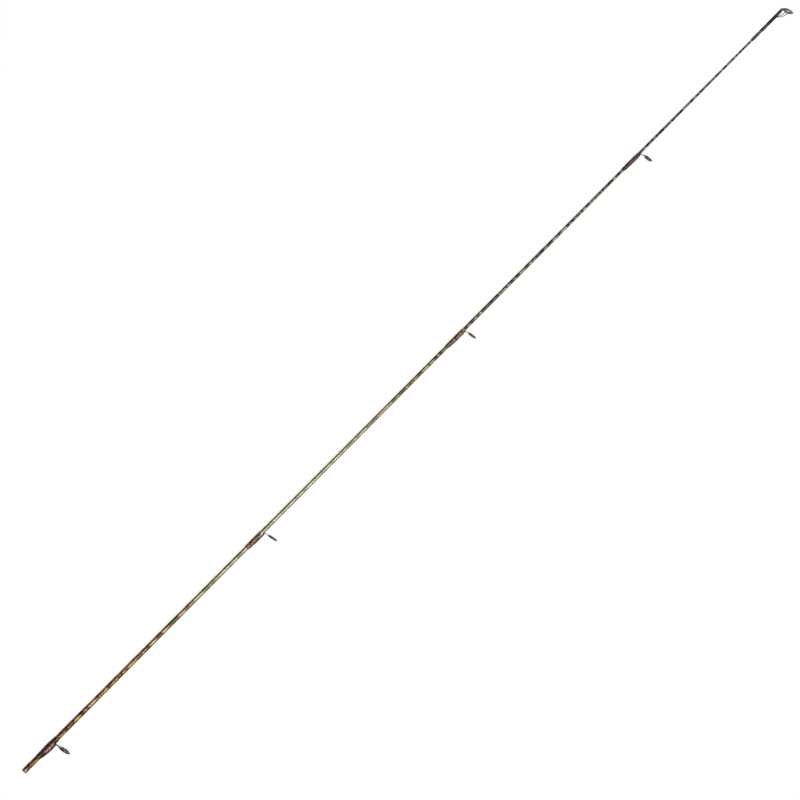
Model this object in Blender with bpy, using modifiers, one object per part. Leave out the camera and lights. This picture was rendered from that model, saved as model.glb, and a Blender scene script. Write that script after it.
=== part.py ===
"""Tip section of a two-piece trout spinning rod, laid down as on a table.

Every piece is modelled in the rod's own frame: +Z runs along the blank from its ferrule end
to the tip, and +X points from the blank to the guide rings. One empty, lying_rod, then lays
the whole rod on the ground, along +X, on its first wrap and the rims of two hoops.
"""
from dataclasses import dataclass
import math

import bmesh
import bpy
from mathutils import Matrix, Vector

MM = 0.001

# The blank: a hollow composite tube whose taper quickens towards the tip. Its ferrule, with
# the socket for the butt section, ends under the first wrap, where the shaft goes on.
BLANK_LENGTH = 998.5 * MM
BUTT_DIAMETER = 5.35 * MM
FERRULE_STATION = 100.0 * MM
FERRULE_DIAMETER = 4.7 * MM
LOWER_STATION = 300.0 * MM
LOWER_DIAMETER = 4.3 * MM
MIDDLE_STATION = 600.0 * MM
MIDDLE_DIAMETER = 3.45 * MM
UPPER_FROM_TIP = 150.0 * MM
UPPER_DIAMETER = 2.55 * MM
TIP_STRETCH = 90.0 * MM
TIP_STRETCH_DIAMETER = 2.15 * MM
TIP_SEAT_LENGTH = 32.0 * MM
TIP_DIAMETER = 1.95 * MM
BLANK_WALL = 0.4 * MM
SOCKET_DEPTH = 36.0 * MM
SOCKET_DIAMETER = 4.2 * MM
SOCKET_CHAMFER = 0.15 * MM
BLANK_SIDES = 24

# Glued and bound layers lie this far apart, far less than a thread is thick
LAYER_GAP = 0.05 * MM

# Thread and the epoxy over it
THREAD_THICKNESS = 0.16 * MM
THREAD_LEAD = 2.4 * MM
THREAD_RAMP = 1.4 * MM
EPOXY_OVERLAP = 0.9 * MM
EPOXY_EDGE = 0.06 * MM
EPOXY_SKEW = 1.25

# The feet of the guides, and the bend between foot and neck
TOE_THICKNESS = 0.3 * MM
TOE_HALF_WIDTH = 0.5 * MM
TOE_SHOULDER = 3.0 * MM
TOE_TAPER = 8.0 * MM
TOE_CLEARANCE = 0.2 * MM
FOOT_CROWN = 1.5
BEND_STEPS = 3
EDGE_THINNING = 0.35
NECK_THINNING = 0.92
# Shares of the free neck still to go, with the strip's width there over the plain neck's
NECK_FLARE = ((0.45, 1.1), (0.05, 1.5))
# Shares of the hoop's rim that the strip runs into, with its width over the hoop's chord there
NECK_ROOTS = ((0.3, 0.95), (0.8, 0.9))
NOTCH_CLEARANCE = 0.15 * MM
RAYS_OVER_FOOT = 2
RAYS_BESIDE_FOOT = 8

# Hoops and ring inserts
SEAT_GAP = 0.05 * MM
COLLAR_WIDTH = 0.35 * MM
COLLAR_PROUD = 0.3 * MM
RIM_ROUNDING = 0.2 * MM
INSERT_ROOT = 0.35 * MM
INSERT_CHAMFER = 0.15 * MM
RING_STEPS = 24

# The tip-top
TUBE_LENGTH = 10.4 * MM
TUBE_OVERRUN = 2.6 * MM
TUBE_DIAMETER = 3.2 * MM
TUBE_BORE = 2.42 * MM
TUBE_CHAMFER = 0.08 * MM
PLUG_LENGTH = 1.4 * MM
TIP_RING_AHEAD = 11.8 * MM
TIP_RING_HEIGHT = 4.9 * MM
TIP_LEAN = 20.0
TIP_HOOP_DIAMETER = 11.0 * MM
TIP_SEAT_DIAMETER = 8.6 * MM
TIP_BORE_DIAMETER = 6.0 * MM
TIP_PLATE = 0.9 * MM
TIP_INSERT_LENGTH = 2.0 * MM
TONGUE_WIDTH = 5.0 * MM
TONGUE_FLAT = 0.8
TONGUE_SIDES = 16
TONGUE_SPREAD = ((0.2, 0.1), (0.5, 0.45), (0.78, 0.85))
TONGUE_SETBACK = 0.2 * MM
TONGUE_LIP_FLAT = 0.6
TONGUE_ROOT = 0.55
TONGUE_ROOT_BACK = 0.45
TONGUE_ROOT_FRONT = 0.25
TONGUE_ROOT_WIDTH = 0.96
LEG_DIAMETER = 0.7 * MM
LEG_ROOT = 0.9 * MM
LEG_ROOT_SPREAD = 0.8 * MM
LEG_SETBACK = 0.3 * MM
LEG_BOW = 0.35
LEG_STEPS = 5
GLUE_CAP = 0.4 * MM

# The two trim wraps behind the tip-top, under one coat of epoxy
REAR_TRIM_LENGTH = 9.6 * MM
TRIM_SPACE = 1.2 * MM
FRONT_TRIM_LENGTH = 9.4 * MM
TRIM_TUBE_GAP = 0.35 * MM
REAR_TRIM_EPOXY = 0.3 * MM
FRONT_TRIM_EPOXY = 0.42 * MM
TRIM_STEPS = 6


@dataclass
class Guide:
    """One single-foot guide; station and height place the centre of its ring.

    A hump below 1 makes an even coat of epoxy, and one above 1 heaps it up in the middle.
    """
    name: str
    station: float
    height: float
    lean: float
    hoop_diameter: float
    seat_diameter: float
    bore_diameter: float
    plate: float
    insert_length: float
    foot_length: float
    foot_half_width: float
    neck_half_width: float
    bend_radius: float
    bare_foot: float
    locking_wrap: float
    epoxy: float
    hump: float

    @property
    def hoop_radius(self):
        return self.hoop_diameter / 2

    @property
    def seat_radius(self):
        return self.seat_diameter / 2

    @property
    def blank_radius(self):
        return blank_radius(self.station)

    @property
    def foot_plane(self):
        """Height of the middle of the foot's thickness above the blank's axis."""
        return self.blank_radius + LAYER_GAP + self.plate / 2

    @property
    def bend_angle(self):
        return math.radians(90.0 - self.lean)

    @property
    def bend_start(self):
        """Station where the foot starts to bend up into the neck."""
        top = self.foot_plane + self.bend_radius * (1.0 - math.cos(self.bend_angle))
        rise = self.height - top
        return (self.station - rise * math.tan(math.radians(self.lean))
                - self.bend_radius * math.sin(self.bend_angle))

    @property
    def neck_front(self):
        """Station of the neck's face towards the tip, level with the foot."""
        return self.bend_start + self.bend_radius + self.plate / 2

    @property
    def toe(self):
        return self.bend_start - self.foot_length

    def foot_size(self, z):
        """Thickness and half width of the foot at station z, or of its toe before it."""
        stops = (0.0, TOE_SHOULDER, TOE_TAPER)
        thick = (TOE_THICKNESS, (TOE_THICKNESS + self.plate) / 2, self.plate)
        wide = (TOE_HALF_WIDTH, (TOE_HALF_WIDTH + self.foot_half_width) / 2, self.foot_half_width)
        along = z - self.toe
        return follow(along, stops, thick), follow(along, stops, wide)


GUIDES = (
    Guide("first", station=41.5 * MM, height=13.2 * MM, lean=11.3,
          hoop_diameter=12.8 * MM, seat_diameter=10.1 * MM, bore_diameter=7.6 * MM,
          plate=1.15 * MM, insert_length=2.3 * MM, foot_length=16.5 * MM,
          foot_half_width=1.2 * MM, neck_half_width=1.6 * MM, bend_radius=1.7 * MM,
          bare_foot=0.0 * MM, locking_wrap=2.6 * MM, epoxy=0.45 * MM, hump=2.0),
    Guide("second", station=320.7 * MM, height=10.9 * MM, lean=12.6,
          hoop_diameter=11.2 * MM, seat_diameter=8.7 * MM, bore_diameter=6.0 * MM,
          plate=0.7 * MM, insert_length=2.1 * MM, foot_length=19.0 * MM,
          foot_half_width=1.05 * MM, neck_half_width=1.25 * MM, bend_radius=1.25 * MM,
          bare_foot=2.6 * MM, locking_wrap=0.0 * MM, epoxy=0.15 * MM, hump=0.7),
    Guide("third", station=587.6 * MM, height=9.6 * MM, lean=8.4,
          hoop_diameter=10.2 * MM, seat_diameter=7.8 * MM, bore_diameter=5.4 * MM,
          plate=0.65 * MM, insert_length=2.0 * MM, foot_length=19.5 * MM,
          foot_half_width=0.95 * MM, neck_half_width=1.15 * MM, bend_radius=1.25 * MM,
          bare_foot=0.4 * MM, locking_wrap=0.0 * MM, epoxy=0.14 * MM, hump=0.7),
    Guide("fourth", station=822.0 * MM, height=9.4 * MM, lean=8.9,
          hoop_diameter=10.0 * MM, seat_diameter=7.6 * MM, bore_diameter=5.2 * MM,
          plate=0.65 * MM, insert_length=2.0 * MM, foot_length=19.5 * MM,
          foot_half_width=0.85 * MM, neck_half_width=1.1 * MM, bend_radius=1.25 * MM,
          bare_foot=0.4 * MM, locking_wrap=0.0 * MM, epoxy=0.28 * MM, hump=0.7),
)


def follow(value, stops, heights):
    """Height at value on the line through the given stops, level beyond its ends."""
    if value <= stops[0]:
        return heights[0]
    for low, high, start, end in zip(stops, stops[1:], heights, heights[1:]):
        if value <= high:
            return start + (end - start) * (value - low) / (high - low)
    return heights[-1]


def taper():
    """Stations and radii of the blank's outside, from the ferrule end to the tip."""
    stations = (0.0, FERRULE_STATION, LOWER_STATION, MIDDLE_STATION,
                BLANK_LENGTH - UPPER_FROM_TIP, BLANK_LENGTH - TIP_STRETCH,
                BLANK_LENGTH - TIP_SEAT_LENGTH, BLANK_LENGTH)
    diameters = (BUTT_DIAMETER, FERRULE_DIAMETER, LOWER_DIAMETER, MIDDLE_DIAMETER,
                 UPPER_DIAMETER, TIP_STRETCH_DIAMETER, TIP_DIAMETER, TIP_DIAMETER)
    return stations, tuple(diameter / 2 for diameter in diameters)


def blank_radius(z):
    stations, radii = taper()
    return follow(z, stations, radii)


def clear_scene():
    for item in list(bpy.data.objects):
        bpy.data.objects.remove(item, do_unlink=True)
    for collection in list(bpy.data.collections):
        bpy.data.collections.remove(collection)


def new_collection(name):
    collection = bpy.data.collections.new(name)
    bpy.context.scene.collection.children.link(collection)
    return collection


def new_material(name, color, roughness, metallic=0.0, transmission=0.0):
    material = bpy.data.materials.new(name)
    material.use_nodes = True
    shader = material.node_tree.nodes["Principled BSDF"]
    shader.inputs["Base Color"].default_value = (*color, 1.0)
    shader.inputs["Roughness"].default_value = roughness
    shader.inputs["Metallic"].default_value = metallic
    shader.inputs["Transmission Weight"].default_value = transmission
    material.diffuse_color = (*color, 1.0)
    return material


class Rod:
    """The scene's collections and the empty that carries every piece."""

    def __init__(self):
        self.parts = new_collection("trout_rod_tip_section")
        self.cutters = new_collection("cutters")
        self.lying = bpy.data.objects.new("lying_rod", None)
        self.lying.empty_display_size = 20 * MM
        self.parts.objects.link(self.lying)

    def add(self, name, mesh, material):
        """A piece of the rod, placed in the rod's own frame."""
        piece = bpy.data.objects.new(name, mesh)
        piece.parent = self.lying
        piece.data.materials.append(material)
        self.parts.objects.link(piece)
        return piece

    def add_helper(self, name, mesh):
        """A solid that cuts or joins others and is no piece itself."""
        helper = bpy.data.objects.new(name, mesh)
        helper.parent = self.lying
        helper.hide_render = True
        helper.display_type = "WIRE"
        self.cutters.objects.link(helper)
        return helper


def finish_mesh(form, name, sharp_angle=40.0):
    """Turn a bmesh into a mesh that shades smooth except over its sharp edges."""
    bmesh.ops.recalc_face_normals(form, faces=form.faces)
    mesh = bpy.data.meshes.new(name)
    form.to_mesh(mesh)
    form.free()
    mesh.shade_smooth()
    mesh.set_sharp_from_angle(angle=math.radians(sharp_angle))
    return mesh


def skin(form, rings):
    """Join successive rings of vertices, each with the same count.

    Every quad is split along the same diagonal, so that skins over the same stations stay
    the same distance apart.
    """
    count = len(rings[0])
    for lower, upper in zip(rings, rings[1:]):
        for k in range(count):
            m = (k + 1) % count
            form.faces.new((lower[k], lower[m], upper[m]))
            form.faces.new((lower[k], upper[m], upper[k]))


def loft(rings, name):
    """A solid through closed rings of points, capped at both ends."""
    form = bmesh.new()
    rows = [[form.verts.new(point) for point in ring] for ring in rings]
    skin(form, rows)
    form.faces.new(rows[0])
    form.faces.new(rows[-1])
    return finish_mesh(form, name)


def sleeve(outer, inner, name):
    """A tube with an outer and an inner skin, joined at both ends."""
    form = bmesh.new()
    outside = [[form.verts.new(point) for point in ring] for ring in outer]
    inside = [[form.verts.new(point) for point in ring] for ring in inner]
    for rows in (outside, inside, [outside[0], inside[0]], [outside[-1], inside[-1]]):
        skin(form, rows)
    return finish_mesh(form, name)


def profile_mesh(points, name):
    """A closed profile in the XZ plane, ready to be turned about Z."""
    form = bmesh.new()
    corners = [form.verts.new((radius, 0.0, z)) for radius, z in points]
    for k, corner in enumerate(corners):
        form.edges.new((corner, corners[(k + 1) % len(corners)]))
    mesh = bpy.data.meshes.new(name)
    form.to_mesh(mesh)
    form.free()
    return mesh


def turn(piece, steps):
    """Turn a piece's profile through a full circle about its own Z axis."""
    screw = piece.modifiers.new("turned", "SCREW")
    screw.axis = "Z"
    screw.angle = 2 * math.pi
    screw.steps = steps
    screw.render_steps = steps
    screw.use_merge_vertices = True
    screw.merge_threshold = 0.000001
    screw.use_smooth_shade = True


def boolean(piece, other, operation):
    step = piece.modifiers.new(other.name, "BOOLEAN")
    step.operation = operation
    step.object = other
    step.solver = "EXACT"


def seat_on_rod(piece, height, station, lean):
    """Stand a turned ring over the blank, leaning towards the tip."""
    piece.location = (height, 0.0, station)
    piece.rotation_euler = (0.0, -math.radians(lean), 0.0)


def make_blank(rod, material):
    """The ferrule and the shaft of the blank, end to end."""
    socket = SOCKET_DIAMETER / 2
    profile = [
        (blank_radius(SOCKET_DEPTH), SOCKET_DEPTH),
        (blank_radius(0.0), 0.0),
        (socket + SOCKET_CHAMFER, 0.0),
        (socket, SOCKET_CHAMFER),
        (socket, SOCKET_DEPTH),
    ]
    ferrule = rod.add("blank_ferrule", profile_mesh(profile, "blank_ferrule"), material)
    turn(ferrule, BLANK_SIDES)

    rear = SOCKET_DEPTH + LAYER_GAP
    stations, radii = taper()
    outside = [(blank_radius(rear), rear)]
    outside += [(radius, z) for z, radius in zip(stations, radii) if z > rear]
    bore = [(radius - BLANK_WALL, z) for radius, z in outside]
    shaft = rod.add("blank_shaft", profile_mesh(outside[::-1] + bore, "blank_shaft"), material)
    turn(shaft, BLANK_SIDES)


def tight_radius(angle, round_blank, crown, rise):
    """Distance from the axis to a band pulled tight round the blank and the foot's crown.

    Blank and crown are circles, and rise is the distance between their centres. The band
    lies on the blank, leaves it along the common tangent and passes over the crown.
    """
    angle = abs(angle)
    if rise + crown <= round_blank:
        return round_blank
    leave = math.acos((round_blank - crown) / rise)
    touch = math.atan2(crown * math.sin(leave), rise + crown * math.cos(leave))
    if angle >= leave:
        return round_blank
    if angle > touch:
        return round_blank / math.cos(leave - angle)
    return crown_radius(angle, crown, rise)


def crown_radius(angle, crown, rise):
    return rise * math.cos(angle) + math.sqrt(crown ** 2 - (rise * math.sin(angle)) ** 2)


def crown_circle(guide, z):
    """Radius and rise of the circle that the foot's top follows at station z."""
    thickness, half_width = guide.foot_size(z)
    crown = FOOT_CROWN * half_width
    rise = blank_radius(z) + LAYER_GAP + thickness - crown
    return crown, rise


def foot_angle(guide, z):
    """Half the angle that the foot covers, seen from the blank's axis."""
    half_width = guide.foot_size(z)[1]
    return math.asin(half_width / (blank_radius(z) + LAYER_GAP))


def ray_angles(half_foot):
    """Angles round the blank: evenly over the foot, then evenly round the rest."""
    over = [half_foot * k / RAYS_OVER_FOOT for k in range(RAYS_OVER_FOOT + 1)]
    rest = (math.pi - half_foot) / RAYS_BESIDE_FOOT
    beside = [half_foot + rest * k for k in range(1, RAYS_BESIDE_FOOT + 1)]
    right = over + beside
    left = [-angle for angle in right[-2:0:-1]]
    return right + left


def on_ray(angle, radius, z):
    return Vector((radius * math.cos(angle), radius * math.sin(angle), z))


def wrap_ring(guide, z, offset, over_foot=True):
    """A ring of points round blank and foot, a given distance off them."""
    half_foot = foot_angle(guide, z)
    crown, rise = crown_circle(guide, z)
    bare = blank_radius(z) + offset
    ring = []
    for angle in ray_angles(half_foot):
        radius = tight_radius(angle, bare, crown + offset, rise) if over_foot else bare
        ring.append(on_ray(angle, radius, z))
    return ring


def wrap_stations(guide, start, end):
    """Stations of a wrap from start to end, each with a flag for the foot under it."""
    ramp = guide.toe - THREAD_RAMP
    full = guide.toe + TOE_TAPER
    foot_end = min(end, guide.bend_start)
    stations = [(start, False), (ramp, False), (guide.toe - TOE_CLEARANCE, True),
                (guide.toe + TOE_SHOULDER, True), (full, True), ((full + foot_end) / 2, True),
                (foot_end, True)]
    if end > guide.neck_front:
        stations += [(guide.neck_front + NOTCH_CLEARANCE, False), (end, False)]
    return stations


def thread_span(guide):
    start = guide.toe - THREAD_LEAD
    if guide.locking_wrap > 0.0:
        return start, guide.neck_front + guide.locking_wrap
    return start, guide.bend_start - LAYER_GAP - guide.bare_foot


def epoxy_span(guide):
    start, end = thread_span(guide)
    if guide.locking_wrap > 0.0:
        return start - EPOXY_OVERLAP, end + EPOXY_OVERLAP
    return start - EPOXY_OVERLAP, guide.bend_start - LAYER_GAP


def notch_for_neck(rod, guide):
    """Cutter for the slot through which the neck leaves a wrap that locks in front of it."""
    start = guide.bend_start - LAYER_GAP
    end = guide.neck_front + NOTCH_CLEARANCE
    half_width = guide.neck_half_width + NOTCH_CLEARANCE
    form = bmesh.new()
    bmesh.ops.create_cube(form, size=1.0)
    size = Vector((guide.height, 2 * half_width, end - start))
    centre = Vector((guide.height / 2, 0.0, (start + end) / 2))
    bmesh.ops.transform(form, matrix=Matrix.Translation(centre) @ Matrix.Diagonal(size.to_4d()),
                        verts=form.verts)
    return rod.add_helper(guide.name + "_neck_notch", finish_mesh(form, "neck_notch"))


def make_thread(rod, guide, material):
    start, end = thread_span(guide)
    stations = wrap_stations(guide, start, end)
    inner_offset = LAYER_GAP
    outer_offset = LAYER_GAP + THREAD_THICKNESS
    inner = [wrap_ring(guide, z, inner_offset, foot) for z, foot in stations]
    outer = [wrap_ring(guide, z, outer_offset, foot) for z, foot in stations]
    name = guide.name + "_guide_thread_wrap"
    return rod.add(name, sleeve(outer, inner, name), material)


def epoxy_depth(guide, z, span):
    """Epoxy over the thread: thin at both ends, deepest a little past the middle."""
    along = (z - span[0]) / (span[1] - span[0])
    swell = math.sin(math.pi * min(max(along, 0.0), 1.0) ** EPOXY_SKEW)
    return EPOXY_EDGE + (guide.epoxy - EPOXY_EDGE) * max(swell, 0.0) ** guide.hump


def make_epoxy(rod, guide, material):
    span = epoxy_span(guide)
    thread = thread_span(guide)
    under = LAYER_GAP
    over_thread = 2 * LAYER_GAP + THREAD_THICKNESS
    lead = [(span[0], False, under), (thread[0] - 2 * LAYER_GAP, False, under),
            (thread[0] - LAYER_GAP, False, over_thread)]
    middle = [(z, foot, over_thread) for z, foot in wrap_stations(guide, *thread)[1:-1]]
    tail_foot = guide.locking_wrap == 0.0
    tail = [(thread[1] + LAYER_GAP, tail_foot, over_thread),
            (thread[1] + 2 * LAYER_GAP, tail_foot, under), (span[1], tail_foot, under)]
    if span[1] < thread[1] + 3 * LAYER_GAP:
        tail = [(span[1], tail_foot, over_thread)]
    inner = [wrap_ring(guide, z, offset, foot) for z, foot, offset in lead + middle + tail]
    outer = []
    for z, foot, offset in [lead[0], lead[2]] + middle + [tail[0], tail[-1]]:
        if outer and z <= outer[-1][0].z:
            continue
        depth = epoxy_depth(guide, z, span)
        at_rim = z in (span[0], span[1]) and offset == under
        outer.append(wrap_ring(guide, z, (under if at_rim else over_thread) + depth, foot))
    name = guide.name + "_guide_epoxy_coat"
    return rod.add(name, sleeve(outer, inner, name), material)


def foot_ring(guide, z):
    """Section of the foot: saddled under, crowned on top."""
    half_foot = foot_angle(guide, z)
    crown, rise = crown_circle(guide, z)
    angles = [half_foot * k / RAYS_OVER_FOOT for k in range(-RAYS_OVER_FOOT, RAYS_OVER_FOOT + 1)]
    under = [on_ray(angle, blank_radius(z) + LAYER_GAP, z) for angle in angles]
    top = [on_ray(angle, crown_radius(angle, crown, rise), z) for angle in angles[::-1]]
    return under + top


def plate_ring(centre, turned, half_width, thickness):
    """Section of the bent strip: a flat plate with thinned edges, square to its path."""
    normal = Vector((math.cos(turned), 0.0, -math.sin(turned)))
    across = Vector((0.0, 1.0, 0.0))
    front = []
    back = []
    for k in range(-RAYS_OVER_FOOT, RAYS_OVER_FOOT + 1):
        share = k / RAYS_OVER_FOOT
        half = thickness / 2 * (1.0 - EDGE_THINNING * share ** 4)
        front.append(centre + across * half_width * share - normal * half)
        back.append(centre + across * half_width * share + normal * half)
    return front + back[::-1]


def neck_centre(guide, below):
    """A point on the neck's middle line, a given distance below the ring's centre."""
    lean = math.radians(guide.lean)
    return Vector((guide.height - below * math.cos(lean), 0.0,
                   guide.station - below * math.sin(lean)))


def strip_rings(guide):
    """Sections of foot, bend and neck, from the toe up into the hoop."""
    stations = (guide.toe, guide.toe + TOE_SHOULDER, guide.toe + TOE_TAPER, guide.bend_start)
    rings = [foot_ring(guide, z) for z in stations]
    thickness = NECK_THINNING * guide.plate
    for k in range(1, BEND_STEPS + 1):
        turned = guide.bend_angle * k / BEND_STEPS
        out = guide.bend_radius * (1.0 - math.cos(turned))
        ahead = guide.bend_radius * math.sin(turned)
        centre = Vector((guide.foot_plane + out, 0.0, guide.bend_start + ahead))
        rings.append(plate_ring(centre, turned, guide.neck_half_width, thickness))
    hoop = guide.hoop_radius
    rim = hoop - guide.seat_radius
    bend_end = (guide.height - rings[-1][0].x) / math.cos(math.radians(guide.lean))
    free = max(bend_end - hoop, 0.0)
    widths = [(hoop + share * free, flare * guide.neck_half_width) for share, flare in NECK_FLARE]
    for depth, chord in NECK_ROOTS:
        below = hoop - depth * rim
        widths.append((below, chord * math.sqrt(hoop ** 2 - below ** 2)))
    for below, half_width in widths:
        rings.append(plate_ring(neck_centre(guide, below), guide.bend_angle, half_width,
                                thickness))
    return rings


def hoop_profile(hoop, seat, plate):
    """Turned section of a hoop: a plate with a rolled collar that holds the insert."""
    half = plate / 2
    collar = half + COLLAR_PROUD
    side = [(seat, collar), (seat + COLLAR_WIDTH, collar),
            (seat + COLLAR_WIDTH + COLLAR_PROUD, half), (hoop - RIM_ROUNDING, half),
            (hoop, half - RIM_ROUNDING)]
    return side + [(radius, -z) for radius, z in side[::-1]]


def insert_profile(outer, bore, length):
    """Turned section of a ring insert: square outside, rounded through the bore."""
    half = length / 2
    root = outer - INSERT_ROOT
    outside = [(outer - INSERT_CHAMFER, half), (outer, half - INSERT_CHAMFER),
               (outer, INSERT_CHAMFER - half), (outer - INSERT_CHAMFER, -half)]
    bore_arc = []
    for k in range(5):
        angle = math.pi * (k / 4 - 0.5)
        bore_arc.append((root - (root - bore) * math.cos(angle), half * math.sin(angle)))
    return outside + bore_arc


def make_guide(rod, guide, materials):
    """Frame, insert, thread and epoxy of one guide."""
    name = guide.name + "_guide"
    strip = rod.add_helper(name + "_strip", loft(strip_rings(guide), name + "_strip"))
    profile = hoop_profile(guide.hoop_radius, guide.seat_radius, guide.plate)
    frame = rod.add(name + "_frame", profile_mesh(profile, name + "_frame"), materials["frame"])
    turn(frame, RING_STEPS)
    seat_on_rod(frame, guide.height, guide.station, guide.lean)
    boolean(frame, strip, "UNION")

    outer = guide.seat_radius - SEAT_GAP
    profile = insert_profile(outer, guide.bore_diameter / 2, guide.insert_length)
    insert = rod.add(name + "_ring", profile_mesh(profile, name + "_ring"), materials["ring"])
    turn(insert, RING_STEPS)
    seat_on_rod(insert, guide.height, guide.station, guide.lean)

    thread = make_thread(rod, guide, materials["thread"])
    epoxy = make_epoxy(rod, guide, materials["epoxy"])
    if guide.locking_wrap > 0.0:
        notch = notch_for_neck(rod, guide)
        boolean(thread, notch, "DIFFERENCE")
        boolean(epoxy, notch, "DIFFERENCE")


def round_ring(radius, z, count):
    return [on_ray(2 * math.pi * k / count, radius, z) for k in range(count)]


def tube_end():
    """Station of the tip-top tube's front end."""
    return BLANK_LENGTH + TUBE_OVERRUN


def make_tube(rod, material):
    outer = TUBE_DIAMETER / 2
    bore = TUBE_BORE / 2
    front = tube_end()
    rear = front - TUBE_LENGTH
    profile = [(outer, front), (outer, rear + TUBE_CHAMFER), (outer - TUBE_CHAMFER, rear),
               (bore, rear), (bore, front)]
    tube = rod.add("tip_top_tube", profile_mesh(profile, "tip_top_tube"), material)
    turn(tube, BLANK_SIDES)


def make_glue(rod, material):
    """The glue between the blank's tip and the tube, closed in front of the blank."""
    outer = TUBE_BORE / 2 - LAYER_GAP
    inner = TIP_DIAMETER / 2 + LAYER_GAP
    rear = tube_end() - TUBE_LENGTH + TUBE_CHAMFER
    floor = BLANK_LENGTH + LAYER_GAP
    front = floor + GLUE_CAP
    form = bmesh.new()
    rows = [(outer, front), (outer, rear), (inner, rear), (inner, floor)]
    rings = [[form.verts.new(point) for point in round_ring(radius, z, BLANK_SIDES)]
             for radius, z in rows]
    skin(form, rings)
    form.faces.new(rings[0])
    form.faces.new(rings[-1])
    rod.add("tip_top_glue", finish_mesh(form, "tip_top_glue"), material)


def tongue_ring(z, centre, back, front, half_width):
    """Section of the tongue: rounded towards the back, flatter towards the ring."""
    ring = []
    for k in range(TONGUE_SIDES):
        angle = 2 * math.pi * k / TONGUE_SIDES
        depth = front if math.cos(angle) > 0.0 else back
        ring.append(Vector((centre + depth * math.cos(angle), half_width * math.sin(angle), z)))
    return ring


def tongue_rings(station):
    """Plug in the tube, boss against its end, and the tongue that spreads into the hoop."""
    plug = TUBE_BORE / 2 - SEAT_GAP
    boss = TUBE_DIAMETER / 2
    lean = math.radians(TIP_LEAN)
    start = tube_end() + LAYER_GAP
    hoop = TIP_HOOP_DIAMETER / 2
    rim = hoop - TIP_SEAT_DIAMETER / 2
    low_x = TIP_RING_HEIGHT - hoop * math.cos(lean)
    low_z = station - hoop * math.sin(lean)
    rings = [tongue_ring(tube_end() - PLUG_LENGTH, 0.0, plug, plug, plug),
             tongue_ring(start, 0.0, plug, plug, plug),
             tongue_ring(start, 0.0, boss, boss, boss)]
    reach = low_z - start
    half_end = TONGUE_WIDTH / 2
    flat = TONGUE_FLAT * boss
    for share, wide in TONGUE_SPREAD:
        half_width = boss + (half_end - boss) * wide
        rings.append(tongue_ring(start + share * reach, 0.0, boss, flat, half_width))
    rings.append(tongue_ring(low_z - TONGUE_SETBACK, low_x, boss + low_x, TONGUE_LIP_FLAT * flat,
                             half_end))
    root_x = low_x + TONGUE_ROOT * rim * math.cos(lean)
    root_z = low_z + TONGUE_ROOT * rim * math.sin(lean)
    rings.append(tongue_ring(root_z, root_x, TONGUE_ROOT_BACK * boss, TONGUE_ROOT_FRONT * boss,
                             TONGUE_ROOT_WIDTH * half_end))
    return rings


def leg_points(side, station):
    """Middle line of one side leg, from the boss out to the widest part of the hoop."""
    radius = LEG_DIAMETER / 2
    reach = TIP_HOOP_DIAMETER / 2 - radius
    start = Vector((TUBE_DIAMETER / 2 - radius, side * LEG_ROOT_SPREAD, tube_end() + LEG_ROOT))
    end = Vector((TIP_RING_HEIGHT, side * reach, station - LEG_SETBACK))
    bow = Vector((LEG_BOW * (end.x - start.x), 0.0, 0.0))
    points = []
    for k in range(LEG_STEPS + 1):
        along = k / LEG_STEPS
        points.append(start.lerp(end, along) + bow * math.sin(math.pi * along))
    return points


def make_leg(rod, side, station):
    """A side leg as a wire, made into a mesh so that it can be joined to the frame."""
    curve = bpy.data.curves.new("leg", "CURVE")
    curve.dimensions = "3D"
    curve.bevel_depth = LEG_DIAMETER / 2
    curve.bevel_resolution = 2
    curve.use_fill_caps = True
    spline = curve.splines.new("POLY")
    points = leg_points(side, station)
    spline.points.add(len(points) - 1)
    for target, point in zip(spline.points, points):
        target.co = point.to_4d()
    wire = bpy.data.objects.new("leg", curve)
    rod.cutters.objects.link(wire)
    bpy.context.view_layer.update()
    depsgraph = bpy.context.evaluated_depsgraph_get()
    form = bmesh.new()
    form.from_mesh(bpy.data.meshes.new_from_object(wire.evaluated_get(depsgraph)))
    bmesh.ops.remove_doubles(form, verts=form.verts, dist=0.000001)
    bpy.data.objects.remove(wire, do_unlink=True)
    name = "tip_top_leg_left" if side > 0 else "tip_top_leg_right"
    return rod.add_helper(name, finish_mesh(form, name))


def make_tip_top(rod, materials):
    station = tube_end() + TIP_RING_AHEAD
    make_tube(rod, materials["tube"])
    make_glue(rod, materials["glue"])
    tongue = rod.add_helper("tip_top_tongue", loft(tongue_rings(station), "tip_top_tongue"))
    profile = hoop_profile(TIP_HOOP_DIAMETER / 2, TIP_SEAT_DIAMETER / 2, TIP_PLATE)
    frame = rod.add("tip_top_frame", profile_mesh(profile, "tip_top_frame"), materials["frame"])
    turn(frame, RING_STEPS)
    seat_on_rod(frame, TIP_RING_HEIGHT, station, TIP_LEAN)
    boolean(frame, tongue, "UNION")
    for side in (1, -1):
        boolean(frame, make_leg(rod, side, station), "UNION")

    outer = TIP_SEAT_DIAMETER / 2 - SEAT_GAP
    profile = insert_profile(outer, TIP_BORE_DIAMETER / 2, TIP_INSERT_LENGTH)
    insert = rod.add("tip_top_ring", profile_mesh(profile, "tip_top_ring"), materials["ring"])
    turn(insert, RING_STEPS)
    seat_on_rod(insert, TIP_RING_HEIGHT, station, TIP_LEAN)


def trim_spans():
    """Start and end of each trim wrap, rear one first."""
    front_end = tube_end() - TUBE_LENGTH - TRIM_TUBE_GAP
    front_start = front_end - FRONT_TRIM_LENGTH
    rear_end = front_start - TRIM_SPACE
    return (rear_end - REAR_TRIM_LENGTH, rear_end), (front_start, front_end)


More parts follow.
